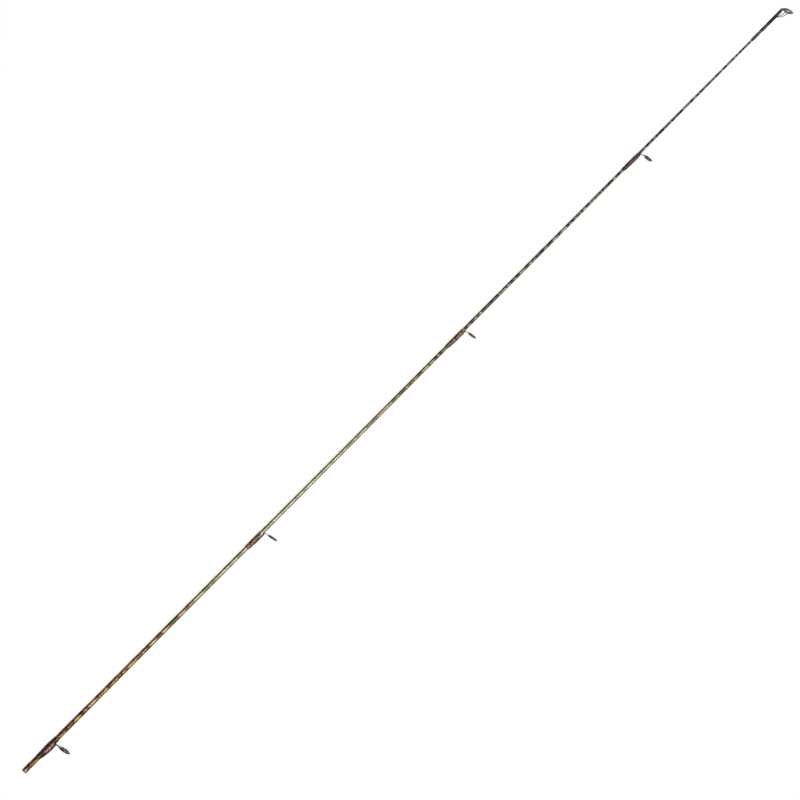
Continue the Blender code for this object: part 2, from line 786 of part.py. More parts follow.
def make_trim(rod, materials):
    """Two bands of thread that finish the blank behind the tip-top, and their epoxy."""
    rear, front = trim_spans()
    inner = blank_radius(rear[0]) + LAYER_GAP
    outer = inner + THREAD_THICKNESS
    for name, (start, end) in (("rear_trim_thread_wrap", rear), ("front_trim_thread_wrap", front)):
        profile = [(outer, end), (outer, start), (inner, start), (inner, end)]
        band = rod.add(name, profile_mesh(profile, name), materials["trim"])
        turn(band, BLANK_SIDES)

    over = outer + LAYER_GAP
    first = rear[0] - EPOXY_OVERLAP
    last = front[1] + TRIM_TUBE_GAP - 2 * LAYER_GAP
    outside = [(inner + EPOXY_EDGE, first)]
    for start, end, depth in ((*rear, REAR_TRIM_EPOXY), (*front, FRONT_TRIM_EPOXY)):
        for k in range(TRIM_STEPS + 1):
            along = k / TRIM_STEPS
            swell = 1.0 - abs(2.0 * along - 1.0) ** 4
            low = over + EPOXY_EDGE
            outside.append((low + (depth - EPOXY_EDGE) * swell, start + (end - start) * along))
    outside.append((over + EPOXY_EDGE, last))
    inside = [(inner, first), (inner, rear[0] - 2 * LAYER_GAP), (over, rear[0] - LAYER_GAP),
              (over, rear[1] + LAYER_GAP), (inner, rear[1] + 2 * LAYER_GAP),
              (inner, front[0] - 2 * LAYER_GAP), (over, front[0] - LAYER_GAP), (over, last)]
    profile = outside[::-1] + inside
    coat = rod.add("trim_epoxy_coat", profile_mesh(profile, "trim_epoxy_coat"),
                   materials["epoxy"])
    turn(coat, BLANK_SIDES)


def fullest_section(guide):
    """Station and radius where the epoxy stands furthest off the blank, beside the foot."""
    span = epoxy_span(guide)
    over_thread = 2 * LAYER_GAP + THREAD_THICKNESS
    sections = []
    for z, _ in wrap_stations(guide, *thread_span(guide)):
        sections.append((blank_radius(z) + over_thread + epoxy_depth(guide, z, span), z))
    radius, station = max(sections)
    return station, radius


def lay_down(rod):
    """Lay the rod on the ground on its first wrap, the first hoop and the tip hoop.

    The guides point sideways and are rolled up until the first hoop and the epoxy behind it
    touch the ground together; the tip is then lifted until the tip-top's hoop touches too.
    """
    first = GUIDES[0]
    station, radius = fullest_section(first)
    roll = math.asin((first.hoop_radius - radius) / first.height)
    tip_axis = TIP_HOOP_DIAMETER / 2 - TIP_RING_HEIGHT * math.sin(roll)
    pitch = math.asin((tip_axis - radius) / (tube_end() + TIP_RING_AHEAD - station))
    along = Vector((math.cos(pitch), 0.0, math.sin(pitch)))
    aside = Vector((0.0, -math.cos(roll), math.sin(roll)))
    aside = (aside - along * aside.dot(along)).normalized()
    turned = Matrix((aside, along.cross(aside), along)).transposed().to_4x4()
    rod.lying.matrix_world = turned
    low, high = bounds(rod)
    centre = Vector(((low.x + high.x) / 2, (low.y + high.y) / 2, low.z))
    rod.lying.matrix_world = Matrix.Translation(-centre) @ turned


def bounds(rod):
    """Lowest and highest corners of all the pieces as they lie."""
    bpy.context.view_layer.update()
    depsgraph = bpy.context.evaluated_depsgraph_get()
    points = []
    for piece in rod.parts.objects:
        if piece.type != "MESH":
            continue
        solid = piece.evaluated_get(depsgraph)
        points += [solid.matrix_world @ vertex.co for vertex in solid.data.vertices]
    low = Vector([min(point[axis] for point in points) for axis in range(3)])
    high = Vector([max(point[axis] for point in points) for axis in range(3)])
    return low, high


def build():
    clear_scene()
    rod = Rod()
    materials = {
        "blank": new_material("gold_brown_blank", (0.16, 0.10, 0.035), 0.25, metallic=0.3),
        "frame": new_material("gunmetal", (0.09, 0.088, 0.085), 0.35, metallic=1.0),
        "ring": new_material("dark_ceramic", (0.035, 0.035, 0.037), 0.15),
        "thread": new_material("brown_thread", (0.075, 0.04, 0.024), 0.5),
        "trim": new_material("russet_thread", (0.14, 0.07, 0.03), 0.45),
        "epoxy": new_material("clear_epoxy", (0.9, 0.85, 0.75), 0.06, transmission=1.0),
        "tube": new_material("black_chrome", (0.04, 0.04, 0.042), 0.18, metallic=1.0),
        "glue": new_material("amber_glue", (0.45, 0.30, 0.12), 0.4),
    }
    make_blank(rod, materials["blank"])
    for guide in GUIDES:
        make_guide(rod, guide, materials)
    make_tip_top(rod, materials)
    make_trim(rod, materials)
    lay_down(rod)


build()
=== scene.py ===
from dataclasses import dataclass
import math

import bmesh
import bpy
from mathutils import Matrix, Vector


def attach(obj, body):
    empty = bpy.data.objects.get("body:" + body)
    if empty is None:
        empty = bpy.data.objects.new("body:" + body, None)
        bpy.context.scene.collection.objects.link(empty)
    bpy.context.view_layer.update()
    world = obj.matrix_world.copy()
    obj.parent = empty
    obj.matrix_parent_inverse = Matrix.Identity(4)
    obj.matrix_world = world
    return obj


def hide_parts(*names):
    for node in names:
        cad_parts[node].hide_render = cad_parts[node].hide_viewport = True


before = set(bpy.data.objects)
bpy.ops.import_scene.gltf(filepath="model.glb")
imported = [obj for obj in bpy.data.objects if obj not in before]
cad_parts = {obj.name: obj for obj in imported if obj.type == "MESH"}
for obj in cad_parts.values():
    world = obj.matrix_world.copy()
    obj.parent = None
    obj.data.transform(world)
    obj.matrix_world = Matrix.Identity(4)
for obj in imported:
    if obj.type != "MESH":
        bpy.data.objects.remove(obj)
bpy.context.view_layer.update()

MM = 0.001

# Blank, from the ferrule end to the tip
BLANK_LENGTH = 998.5 * MM
BLANK_STATIONS = (0.0, 100.0 * MM, 300.0 * MM, 600.0 * MM, 848.5 * MM, 908.5 * MM, 966.5 * MM,
                  BLANK_LENGTH)
BLANK_DIAMETERS = (5.35 * MM, 4.7 * MM, 4.3 * MM, 3.45 * MM, 2.55 * MM, 2.15 * MM, 1.95 * MM,
                   1.95 * MM)
BLANK_WALL = 0.4 * MM
BLANK_STEP = 8.0 * MM
BLANK_SIDES = 72
SOCKET_DEPTH = 36.0 * MM
SOCKET_DIAMETER = 4.2 * MM
END_ROUNDING = 0.12 * MM
END_BEVEL = 0.01 * MM
BORE_STEP = 40.0 * MM

# Layers of the wraps
LAYER_GAP = 0.05 * MM
THREAD_THICKNESS = 0.16 * MM
THREAD_PITCH = 0.2 * MM
THREAD_VALLEY = 0.06 * MM
RINGS_PER_TURN = 5
THREAD_LEAD = 2.4 * MM
THREAD_RAMP = 1.4 * MM
EPOXY_OVERLAP = 0.9 * MM
EPOXY_EDGE = 0.06 * MM
EPOXY_SKEW = 1.25
EPOXY_STEP = 0.35 * MM
EPOXY_SINK = 0.06 * MM
EPOXY_INNER_STRIDE = 3
RIPPLE_DEPTH = 0.02
RIPPLE_WAVE = 2.1 * MM
RIPPLE_TWIST = 5.3 * MM
RIPPLE_SHARE = 0.6
RIPPLE_SHORT_WAVE = 1.7 * MM
WRAP_SIDES = 56

# Feet, bends and necks of the guides
TOE_THICKNESS = 0.3 * MM
TOE_HALF_WIDTH = 0.5 * MM
TOE_SHOULDER = 3.0 * MM
TOE_TAPER = 8.0 * MM
TOE_CLEARANCE = 0.2 * MM
FOOT_CROWN = 1.5
FOOT_STEPS = 8
BEND_STEPS = 8
NECK_STEPS = 6
EDGE_THINNING = 0.35
EDGE_POWER = 4
NECK_THINNING = 0.92
NECK_CLEARANCE = 0.05 * MM
NECK_FLARE_POWER = 2.4
# Shares of the hoop's rim that the neck runs into, with its width over the hoop's chord there
NECK_ROOT = (0.3, 0.95)
NECK_END = (0.8, 0.9)
PLATE_STEPS = 6
METAL_VOXEL = 0.1 * MM
METAL_SMOOTHING = 5
METAL_SMOOTHING_FACTOR = 0.5

# Hoops and inserts
SEAT_GAP = 0.05 * MM
COLLAR_WIDTH = 0.35 * MM
COLLAR_PROUD = 0.3 * MM
RIM_ROUNDING = 0.2 * MM
HOOP_CORNER = 0.15 * MM
CORNER_STEPS = 3
LONGEST_CORNER_CUT = 0.45
INSERT_ROOT = 0.35 * MM
INSERT_CHAMFER = 0.15 * MM
INSERT_MARGIN = 0.02 * MM
INSERT_ARC_STEPS = 14
RING_STEPS = 96

# Tip-top
TUBE_LENGTH = 10.4 * MM
TUBE_OVERRUN = 2.6 * MM
TUBE_DIAMETER = 3.2 * MM
TUBE_BORE = 2.42 * MM
TUBE_LIP = 0.14 * MM
PLUG_LENGTH = 1.4 * MM
TIP_LEAN = 20.0
TIP_HOOP_DIAMETER = 11.0 * MM
TIP_SEAT_DIAMETER = 8.6 * MM
TIP_BORE_DIAMETER = 6.0 * MM
TIP_PLATE = 0.9 * MM
TIP_INSERT_LENGTH = 2.0 * MM
TONGUE_WIDTH = 5.0 * MM
TONGUE_FLAT = 0.8
TONGUE_SIDES = 32
TONGUE_SPREAD = ((0.2, 0.1), (0.35, 0.25), (0.5, 0.45), (0.65, 0.66), (0.78, 0.85))
TONGUE_SETBACK = 0.2 * MM
TONGUE_LIP_FLAT = 0.6
TONGUE_ROOT = 0.55
TONGUE_ROOT_BACK = 0.45
TONGUE_ROOT_FRONT = 0.25
TONGUE_ROOT_WIDTH = 0.96
LEG_DIAMETER = 0.7 * MM
LEG_ROOT = 0.9 * MM
LEG_ROOT_SPREAD = 0.8 * MM
LEG_SETBACK = 0.3 * MM
LEG_BOW = 0.35
LEG_STEPS = 16
LEG_SIDES = 16
GLUE_CAP = 0.4 * MM
GLUE_RECESS = 0.1 * MM
GLUE_FILLET = 0.05 * MM
# Heights past the tube's end over which the tip-top's plating is painted paler, a painted reflection
# where the tongue turns up into the hoop
PAINTED_GLEAM_FROM = 6.0 * MM
PAINTED_GLEAM_TO = 12.0 * MM

# Trim wraps
REAR_TRIM_LENGTH = 9.6 * MM
TRIM_SPACE = 1.2 * MM
FRONT_TRIM_LENGTH = 9.4 * MM
TRIM_TUBE_GAP = 0.35 * MM
REAR_TRIM_EPOXY = 0.3 * MM
FRONT_TRIM_EPOXY = 0.42 * MM
TRIM_SWELL_POWER = 4

# Stage, camera and lamp, in metres and watts
FLOOR_RADIUS = 20.0
WALL_HEIGHT = 4.0
WALL_SIDES = 64
FLOOR_COLOUR = (0.09, 0.09, 0.09, 1.0)
FLOOR_ROUGHNESS = 0.9
FLOOR_GLOW = 0.94
WHITE = (1.0, 1.0, 1.0, 1.0)
WORLD_LEVEL = 0.09
LAMP_PLACE = Vector((0.0, -0.8, 2.15))
LAMP_SIZE = (4.0, 0.8)
LAMP_POWER = 76.0
SENSOR_WIDTH = 36.0
CAMERA_REACH = 20.0
VIEW_WIDTH = 0.7536
CAMERA_HEIGHT = 2.0
CAMERA_AIM = Vector((-0.0106, 0.0038, 0.0))
ROD_SLANT = Vector((0.70544, -0.70877, 0.0))

# Room for rounding: in a count of steps, and round the end faces of the frame's solids
COUNT_SLACK = 0.001
END_SLACK = 0.02 * MM


@dataclass
class Guide:
    """One single-foot guide. Its station and height are read off its ring in the frame."""
    name: str
    lean: float
    hoop_diameter: float
    seat_diameter: float
    bore_diameter: float
    plate: float
    insert_length: float
    foot_length: float
    foot_half_width: float
    neck_half_width: float
    bend_radius: float
    bare_foot: float
    locking_wrap: float
    epoxy: float
    hump: float
    station: float = 0.0
    height: float = 0.0

    @property
    def hoop_radius(self):
        return self.hoop_diameter / 2

    @property
    def seat_radius(self):
        return self.seat_diameter / 2

    @property
    def foot_plane(self):
        """Height of the middle of the foot's thickness above the blank's axis."""
        return blank_radius(self.station) + LAYER_GAP + self.plate / 2

    @property
    def bend_angle(self):
        return math.radians(90.0 - self.lean)

    @property
    def bend_start(self):
        """Station where the foot starts to bend up into the neck."""
        top = self.foot_plane + self.bend_radius * (1.0 - math.cos(self.bend_angle))
        rise = self.height - top
        return (self.station - rise * math.tan(math.radians(self.lean))
                - self.bend_radius * math.sin(self.bend_angle))

    @property
    def neck_front(self):
        return self.bend_start + self.bend_radius + self.plate / 2

    @property
    def toe(self):
        return self.bend_start - self.foot_length

    def foot_size(self, z):
        """Thickness and half width of the foot at station z, or of its toe before it."""
        stops = (0.0, TOE_SHOULDER, TOE_TAPER)
        thick = (TOE_THICKNESS, (TOE_THICKNESS + self.plate) / 2, self.plate)
        wide = (TOE_HALF_WIDTH, (TOE_HALF_WIDTH + self.foot_half_width) / 2, self.foot_half_width)
        along = z - self.toe
        return follow(along, stops, thick), follow(along, stops, wide)


GUIDES = (
    Guide("first", lean=11.3, hoop_diameter=12.8 * MM, seat_diameter=10.1 * MM,
          bore_diameter=7.6 * MM, plate=1.15 * MM, insert_length=2.3 * MM,
          foot_length=16.5 * MM, foot_half_width=1.2 * MM, neck_half_width=1.6 * MM,
          bend_radius=1.7 * MM, bare_foot=0.0 * MM, locking_wrap=2.6 * MM, epoxy=0.45 * MM,
          hump=2.0),
    Guide("second", lean=12.6, hoop_diameter=11.2 * MM, seat_diameter=8.7 * MM,
          bore_diameter=6.0 * MM, plate=0.7 * MM, insert_length=2.1 * MM,
          foot_length=19.0 * MM, foot_half_width=1.05 * MM, neck_half_width=1.25 * MM,
          bend_radius=1.25 * MM, bare_foot=2.6 * MM, locking_wrap=0.0 * MM, epoxy=0.15 * MM,
          hump=0.7),
    Guide("third", lean=8.4, hoop_diameter=10.2 * MM, seat_diameter=7.8 * MM,
          bore_diameter=5.4 * MM, plate=0.65 * MM, insert_length=2.0 * MM,
          foot_length=19.5 * MM, foot_half_width=0.95 * MM, neck_half_width=1.15 * MM,
          bend_radius=1.25 * MM, bare_foot=0.4 * MM, locking_wrap=0.0 * MM, epoxy=0.14 * MM,
          hump=0.7),
    Guide("fourth", lean=8.9, hoop_diameter=10.0 * MM, seat_diameter=7.6 * MM,
          bore_diameter=5.2 * MM, plate=0.65 * MM, insert_length=2.0 * MM,
          foot_length=19.5 * MM, foot_half_width=0.85 * MM, neck_half_width=1.1 * MM,
          bend_radius=1.25 * MM, bare_foot=0.4 * MM, locking_wrap=0.0 * MM, epoxy=0.28 * MM,
          hump=0.7),
)


def follow(value, stops, heights):
    """Height at value on the line through the given stops, level beyond its ends."""
    if value <= stops[0]:
        return heights[0]
    for low, high, start, end in zip(stops, stops[1:], heights, heights[1:]):
        if value <= high:
            return start + (end - start) * (value - low) / (high - low)
    return heights[-1]


def blank_radius(z):
    return follow(z, BLANK_STATIONS, BLANK_DIAMETERS) / 2


def spaced(start, end, step):
    """Stations from start to end, at most a step apart."""
    count = max(1, math.ceil((end - start) / step - COUNT_SLACK))
    return [start + (end - start) * k / count for k in range(count + 1)]


# Where the rod lies, worked out from the frame's own solids


def node_points(node):
    return [vertex.co.copy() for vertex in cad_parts[node].data.vertices]


def middle(points):
    return sum(points, Vector()) / len(points)


def end_middle(node, side):
    """Middle of a node's end face at its lowest (side -1) or highest (side 1) place along X."""
    points = node_points(node)
    limit = max(side * point.x for point in points)
    return middle([point for point in points if side * point.x > limit - END_SLACK])


def rod_matrix():
    """The rod's frame: butt at the origin, +Z to the tip, +X towards the first ring."""
    butt = end_middle("blank_ferrule", -1)
    along = (end_middle("blank_shaft", 1) - butt).normalized()
    ring = middle(node_points("first_guide_ring")) - butt
    aside = (ring - along * ring.dot(along)).normalized()
    turned = Matrix((aside, along.cross(aside), along)).transposed().to_4x4()
    return Matrix.Translation(butt) @ turned


ROD = rod_matrix()


def ring_place(node):
    """Height over the blank's axis and station of a ring's centre."""
    centre = ROD.inverted() @ middle(node_points(node))
    return centre.x, centre.z


for guide in GUIDES:
    guide.height, guide.station = ring_place(guide.name + "_guide_ring")
TIP_RING_HEIGHT, TIP_STATION = ring_place("tip_top_ring")
TUBE_END = BLANK_LENGTH + TUBE_OVERRUN


# Mesh helpers


def finish_mesh(form, name, sharp_angle=50.0):
    """Turn a bmesh into a mesh in the frame's place that shades smooth."""
    bmesh.ops.recalc_face_normals(form, faces=form.faces)
    mesh = bpy.data.meshes.new(name)
    form.to_mesh(mesh)
    form.free()
    mesh.shade_smooth()
    mesh.set_sharp_from_angle(angle=math.radians(sharp_angle))
    return mesh


def skin(form, rings):
    """Quads between successive rings of vertices, each with the same count."""
    count = len(rings[0])
    for lower, upper in zip(rings, rings[1:]):
        for k in range(count):
            m = (k + 1) % count
            form.faces.new((lower[k], lower[m], upper[m], upper[k]))


def add_rings(form, rings):
    return [[form.verts.new(point) for point in ring] for ring in rings]


def add_loft(form, rings):
    """A closed solid through rings of points."""
    rows = add_rings(form, rings)
    skin(form, rows)
    form.faces.new(rows[0])
    form.faces.new(rows[-1])


def sleeve(outer, inner, name):
    """A tube with an outer and an inner skin, joined at both ends."""
    form = bmesh.new()
    outside = add_rings(form, outer)
    inside = add_rings(form, inner)
    skin(form, outside)
    skin(form, inside)
    skin(form, [outside[0], inside[0]])
    skin(form, [outside[-1], inside[-1]])
    return finish_mesh(form, name)


def turned_rings(profile, steps, place=Matrix.Identity(4)):
    """One ring of points for each (radius, z) of a profile, turned about the place's Z."""
    rings = []
    for radius, z in profile:
        rings.append([place @ Vector((radius * math.cos(2 * math.pi * k / steps),
                                      radius * math.sin(2 * math.pi * k / steps), z))
                      for k in range(steps)])
    return rings


def add_turned(form, profile, steps, place=Matrix.Identity(4)):
    """A closed profile turned into a ring-shaped solid."""
    rows = add_rings(form, turned_rings(profile, steps, place))
    skin(form, rows + [rows[0]])


def rounded(profile, radius):
    """A closed profile with its corners rounded."""
    points = [Vector(point) for point in profile]
    result = []
    for k, corner in enumerate(points):
        before = points[k - 1] - corner
        after = points[(k + 1) % len(points)] - corner
        cut = min(radius, LONGEST_CORNER_CUT * min(before.length, after.length))
        start = corner + before.normalized() * cut
        end = corner + after.normalized() * cut
        for m in range(CORNER_STEPS + 1):
            share = m / CORNER_STEPS
            low = start.lerp(corner, share)
            high = corner.lerp(end, share)
            result.append(tuple(low.lerp(high, share)))
    return result


def ring_place_matrix(height, station, lean):
    """The place of a ring that stands over the blank and leans towards the tip."""
    turn = Matrix.Rotation(-math.radians(lean), 4, "Y")
    return Matrix.Translation(Vector((height, 0.0, station))) @ turn


def remeshed(form, name):
    """One even skin over all the solids of a form, with their joins melted together."""
    mesh = finish_mesh(form, name + "_raw")
    source = bpy.data.objects.new(name + "_raw", mesh)
    bpy.context.scene.collection.objects.link(source)
    joined = source.modifiers.new("joined", "REMESH")
    joined.mode = "VOXEL"
    joined.voxel_size = METAL_VOXEL
    joined.use_smooth_shade = True
    soft = source.modifiers.new("soft", "SMOOTH")
    soft.factor = METAL_SMOOTHING_FACTOR
    soft.iterations = METAL_SMOOTHING
    depsgraph = bpy.context.evaluated_depsgraph_get()
    result = bpy.data.meshes.new_from_object(source.evaluated_get(depsgraph))
    result.name = name
    bpy.data.objects.remove(source, do_unlink=True)
    bpy.data.meshes.remove(mesh)
    result.shade_smooth()
    return result


def dress(name, mesh, material, slot, *nodes):
    """Lay a piece where the rod lies and let it stand for its CAD nodes."""
    mesh.transform(ROD)
    piece = bpy.data.objects.new(name, mesh)
    bpy.context.scene.collection.objects.link(piece)
    mesh.materials.clear()
    mesh.materials.append(material)
    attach(piece, "root")
    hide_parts(*nodes)


# Material helpers


def srgb(red, green, blue):
    """A colour given as it looks on screen, 0 to 255, as a linear RGBA value."""
    linear = []
    for level in (red, green, blue):
        share = level / 255
        linear.append(share / 12.92 if share < 0.04045 else ((share + 0.055) / 1.055) ** 2.4)
    return (*linear, 1.0)


class Finish:
    """A node material over the rod's own coordinates, in millimetres."""

    def __init__(self, name, **sockets):
        self.material = bpy.data.materials.new(name)
        self.material.use_nodes = True
        self.tree = self.material.node_tree
        self.shader = self.tree.nodes["Principled BSDF"]
        for socket, value in sockets.items():
            self.shader.inputs[socket.replace("_", " ")].default_value = value
        place = self.node("ShaderNodeTexCoord")
        rod = self.node("ShaderNodeMapping")
        rod.vector_type = "TEXTURE"
        rod.inputs["Location"].default_value = ROD.to_translation()
        rod.inputs["Rotation"].default_value = ROD.to_euler()
        rod.inputs["Scale"].default_value = (MM, MM, MM)
        self.link(place.outputs["Object"], rod.inputs["Vector"])
        self.spot = rod.outputs["Vector"]
        split = self.node("ShaderNodeSeparateXYZ")
        self.link(self.spot, split.inputs["Vector"])
        self.x, self.y, self.z = (split.outputs[axis] for axis in "XYZ")

    def node(self, kind):
        return self.tree.nodes.new(kind)

    def link(self, source, target):
        self.tree.links.new(source, target)

    def feed(self, value, target):
        if isinstance(value, (int, float, tuple)):
            target.default_value = value
        else:
            self.link(value, target)

    def stretched(self, x, y, z):
        """The rod's coordinates, with each axis stretched, for long or short grains."""
        scale = self.node("ShaderNodeVectorMath")
        scale.operation = "MULTIPLY"
        self.link(self.spot, scale.inputs[0])
        scale.inputs[1].default_value = (x, y, z)
        return scale.outputs["Vector"]

    def noise(self, spot, scale, detail=2.0, roughness=0.5):
        noise = self.node("ShaderNodeTexNoise")
        self.link(spot, noise.inputs["Vector"])
        noise.inputs["Scale"].default_value = scale
        noise.inputs["Detail"].default_value = detail
        noise.inputs["Roughness"].default_value = roughness
        return noise.outputs["Fac"]

    def sums(self, operation, first, second=0.0):
        step = self.node("ShaderNodeMath")
        step.operation = operation
        self.feed(first, step.inputs[0])
        self.feed(second, step.inputs[1])
        return step.outputs["Value"]

    def ramp(self, factor, *stops):
        """A colour ramp through (position, colour) stops."""
        ramp = self.node("ShaderNodeValToRGB")
        elements = ramp.color_ramp.elements
        while len(elements) < len(stops):
            elements.new(0.5)
        while len(elements) > len(stops):
            elements.remove(elements[-1])
        for element, (position, colour) in zip(elements, stops):
            element.position = position
            element.color = colour if isinstance(colour, tuple) else (colour, colour, colour, 1.0)
        self.link(factor, ramp.inputs["Fac"])
        return ramp.outputs["Color"]

    def mix(self, factor, first, second):
        mix = self.node("ShaderNodeMix")
        mix.data_type = "RGBA"
        self.feed(factor, mix.inputs["Factor"])
        self.feed(first, mix.inputs["A"])
        self.feed(second, mix.inputs["B"])
        return mix.outputs["Result"]

    def bump(self, height, depth):
        """Bump whose depth is in metres."""
        bump = self.node("ShaderNodeBump")
        bump.inputs["Distance"].default_value = depth
        self.link(height, bump.inputs["Height"])
        return bump.outputs["Normal"]

    def helix(self, pitch):
        """A wave that winds round the rod once every pitch, 0 to 1."""
        turn = self.sums("DIVIDE", self.sums("ARCTAN2", self.y, self.x), 2 * math.pi)
        along = self.sums("DIVIDE", self.z, pitch)
        phase = self.sums("MULTIPLY", self.sums("ADD", along, turn), 2 * math.pi)
        return self.sums("ADD", self.sums("MULTIPLY", self.sums("SINE", phase), 0.5), 0.5)

    def use(self, socket, value):
        self.feed(value, self.shader.inputs[socket])

    def blend(self, first, second, share):
        """First and second noise added up, with the second's share of the sum."""
        return self.sums("ADD", self.sums("MULTIPLY", first, 1.0 - share),
                         self.sums("MULTIPLY", second, share))


# Stops of the lacquer's ramps. The colours follow the tint noise, or the share of the blank's
# length where the name says along; the other stops are strengths from 0 to 1.
GOLD = ((0.4, srgb(162, 142, 76)), (0.52, srgb(178, 154, 108)), (0.62, srgb(168, 134, 108)))
PALE = ((0.4, srgb(174, 176, 154)), (0.6, srgb(176, 163, 144)))
GREY_ALONG = ((0.6, srgb(166, 154, 134)), (0.8, srgb(146, 134, 114)))
DARK_ALONG = ((0.2, srgb(50, 31, 16)), (0.6, srgb(45, 34, 24)), (0.8, srgb(36, 26, 17)))
SMOKY_ALONG = ((0.44, 0.0), (0.6, 0.8))
PLAIN_ALONG = ((0.15, 0.0), (0.3, 1.0), (0.42, 1.0), (0.52, 0.3), (0.9, 0.4))
BUSY_ALONG = ((0.0, 0.95), (0.15, 0.9), (0.25, 0.55), (0.42, 0.4), (0.55, 0.9), (0.9, 1.0))
PATCH_EDGE = ((0.44, 1.0), (0.5, 0.6), (0.56, 0.0))
SMOKY_SPREAD = 0.012
FINE_SHARE = 0.25
BARE_COMPOSITE = srgb(74, 54, 38)
# The bare rim fades out over these shares of its reach, in millimetres
RIM_REACH = 10.0
RIM_EDGE = ((0.02, 1.0), (0.14, 0.0))
SOCKET_MARGIN = 0.1
LACQUER_METALLIC = 0.8
LACQUER_EDGE = (0.25, 0.17, 0.1, 1.0)
LACQUER_GLOSS = ((0.4, 0.44), (0.6, 0.36))
WINDING_PITCH = 2.4
WINDING_RELIEF = 0.004 * MM


def blank_finish():
    """Metallic gold-brown lacquer over a dark composite that shows through in patches.

    The mottling is boldest by the ferrule, fades to a plain pale stretch along the middle
    and comes back greyer, in shorter dashes, towards the tip. The cut end and the socket are
    bare composite.
    """
    look = Finish("gold_brown_lacquer", Specular_Tint=LACQUER_EDGE)
    share = look.sums("DIVIDE", look.z, BLANK_LENGTH / MM)
    smoky = look.ramp(share, *SMOKY_ALONG)
    patches = look.noise(look.stretched(0.7, 0.7, 0.5), scale=0.34, detail=3.0, roughness=0.6)
    dashes = look.noise(look.stretched(0.7, 0.7, 0.9), scale=0.34, detail=3.0, roughness=0.6)
    fine = look.noise(look.stretched(1.0, 1.0, 0.7), scale=1.1)
    tints = look.noise(look.stretched(1.0, 1.0, 0.4), scale=0.14)
    ground = look.mix(look.ramp(share, *PLAIN_ALONG), look.ramp(tints, *GOLD),
                      look.ramp(tints, *PALE))
    light = look.mix(smoky, ground, look.ramp(share, *GREY_ALONG))
    dark = look.ramp(share, *DARK_ALONG)
    tone = look.blend(look.mix(smoky, patches, dashes), fine, FINE_SHARE)
    cover = look.sums("SUBTRACT", tone, look.sums("MULTIPLY", smoky, SMOKY_SPREAD))
    shade = look.sums("MULTIPLY", look.ramp(cover, *PATCH_EDGE), look.ramp(share, *BUSY_ALONG))
    rim = look.ramp(look.sums("DIVIDE", look.z, RIM_REACH), *RIM_EDGE)
    reach = look.sums("ADD", look.sums("MULTIPLY", look.x, look.x),
                      look.sums("MULTIPLY", look.y, look.y))
    near = look.sums("LESS_THAN", reach, (SOCKET_DIAMETER / MM / 2 + SOCKET_MARGIN) ** 2)
    socket = look.sums("MULTIPLY", near, look.sums("LESS_THAN", look.z, SOCKET_DEPTH / MM))
    bare = look.sums("MAXIMUM", rim, socket)
    look.use("Base Color", look.mix(bare, look.mix(shade, light, dark), BARE_COMPOSITE))
    look.use("Metallic", look.ramp(bare, (0.0, LACQUER_METALLIC), (1.0, 0.0)))
    look.use("Roughness", look.ramp(tone, *LACQUER_GLOSS))
    look.use("Normal", look.bump(look.helix(WINDING_PITCH), WINDING_RELIEF))
    return look.material


THREAD_SHEEN = 0.6
THREAD_SPECULAR = 0.05
THREAD_RELIEF = 0.005 * MM
THREAD_SHADOW = srgb(20, 12, 9)
THREAD_SHADOW_SHARE = 0.35
PATCH_SHARE = 0.55


def thread_finish(name, dark, *lights):
    """Twisted nylon thread: fine turns, with painted shadow in the grooves between them, and paler
    and darker patches along each.

    Each stop given after the dark colour is a share of the blank's length and the paler colour of
    the thread there; that paleness, different wrap by wrap, is partly the thread's own tone and
    partly painted sheen.
    """
    look = Finish(name, Specular_IOR_Level=THREAD_SPECULAR, Metallic=THREAD_SHEEN)
    grain = look.noise(look.stretched(1.0, 1.0, 6.0), scale=0.9, detail=3.0, roughness=0.6)
    patch = look.noise(look.stretched(1.0, 1.0, 0.6), scale=0.3)
    # Painted shadow: the thread is darkened towards THREAD_SHADOW along the grooves between its
    # turns.
    turns = look.sums("MULTIPLY", look.helix(THREAD_PITCH / MM), THREAD_SHADOW_SHARE)
    tone = look.blend(grain, patch, PATCH_SHARE)
    share = look.sums("DIVIDE", look.z, BLANK_LENGTH / MM)
    # The paler colour, set wrap by wrap, is partly the thread's own tone and partly painted sheen.
    yarn_and_sheen = look.mix(look.ramp(tone, (0.42, 0.0), (0.6, 1.0)), dark, look.ramp(share, *lights))
    look.use("Base Color", look.mix(turns, yarn_and_sheen, THREAD_SHADOW))
    look.use("Roughness", look.ramp(grain, (0.3, 0.6), (0.7, 0.45)))
    look.use("Normal", look.bump(grain, THREAD_RELIEF))
    return look.material


EPOXY_INDEX = 1.56
EPOXY_SHINE = (0.62, 0.54, 0.5, 1.0)
EPOXY_THIN = (0.93, 0.88, 0.8, 1.0)
EPOXY_THICK = (0.88, 0.81, 0.71, 1.0)
EPOXY_LIGHT = (0.88, 0.82, 0.73, 1.0)


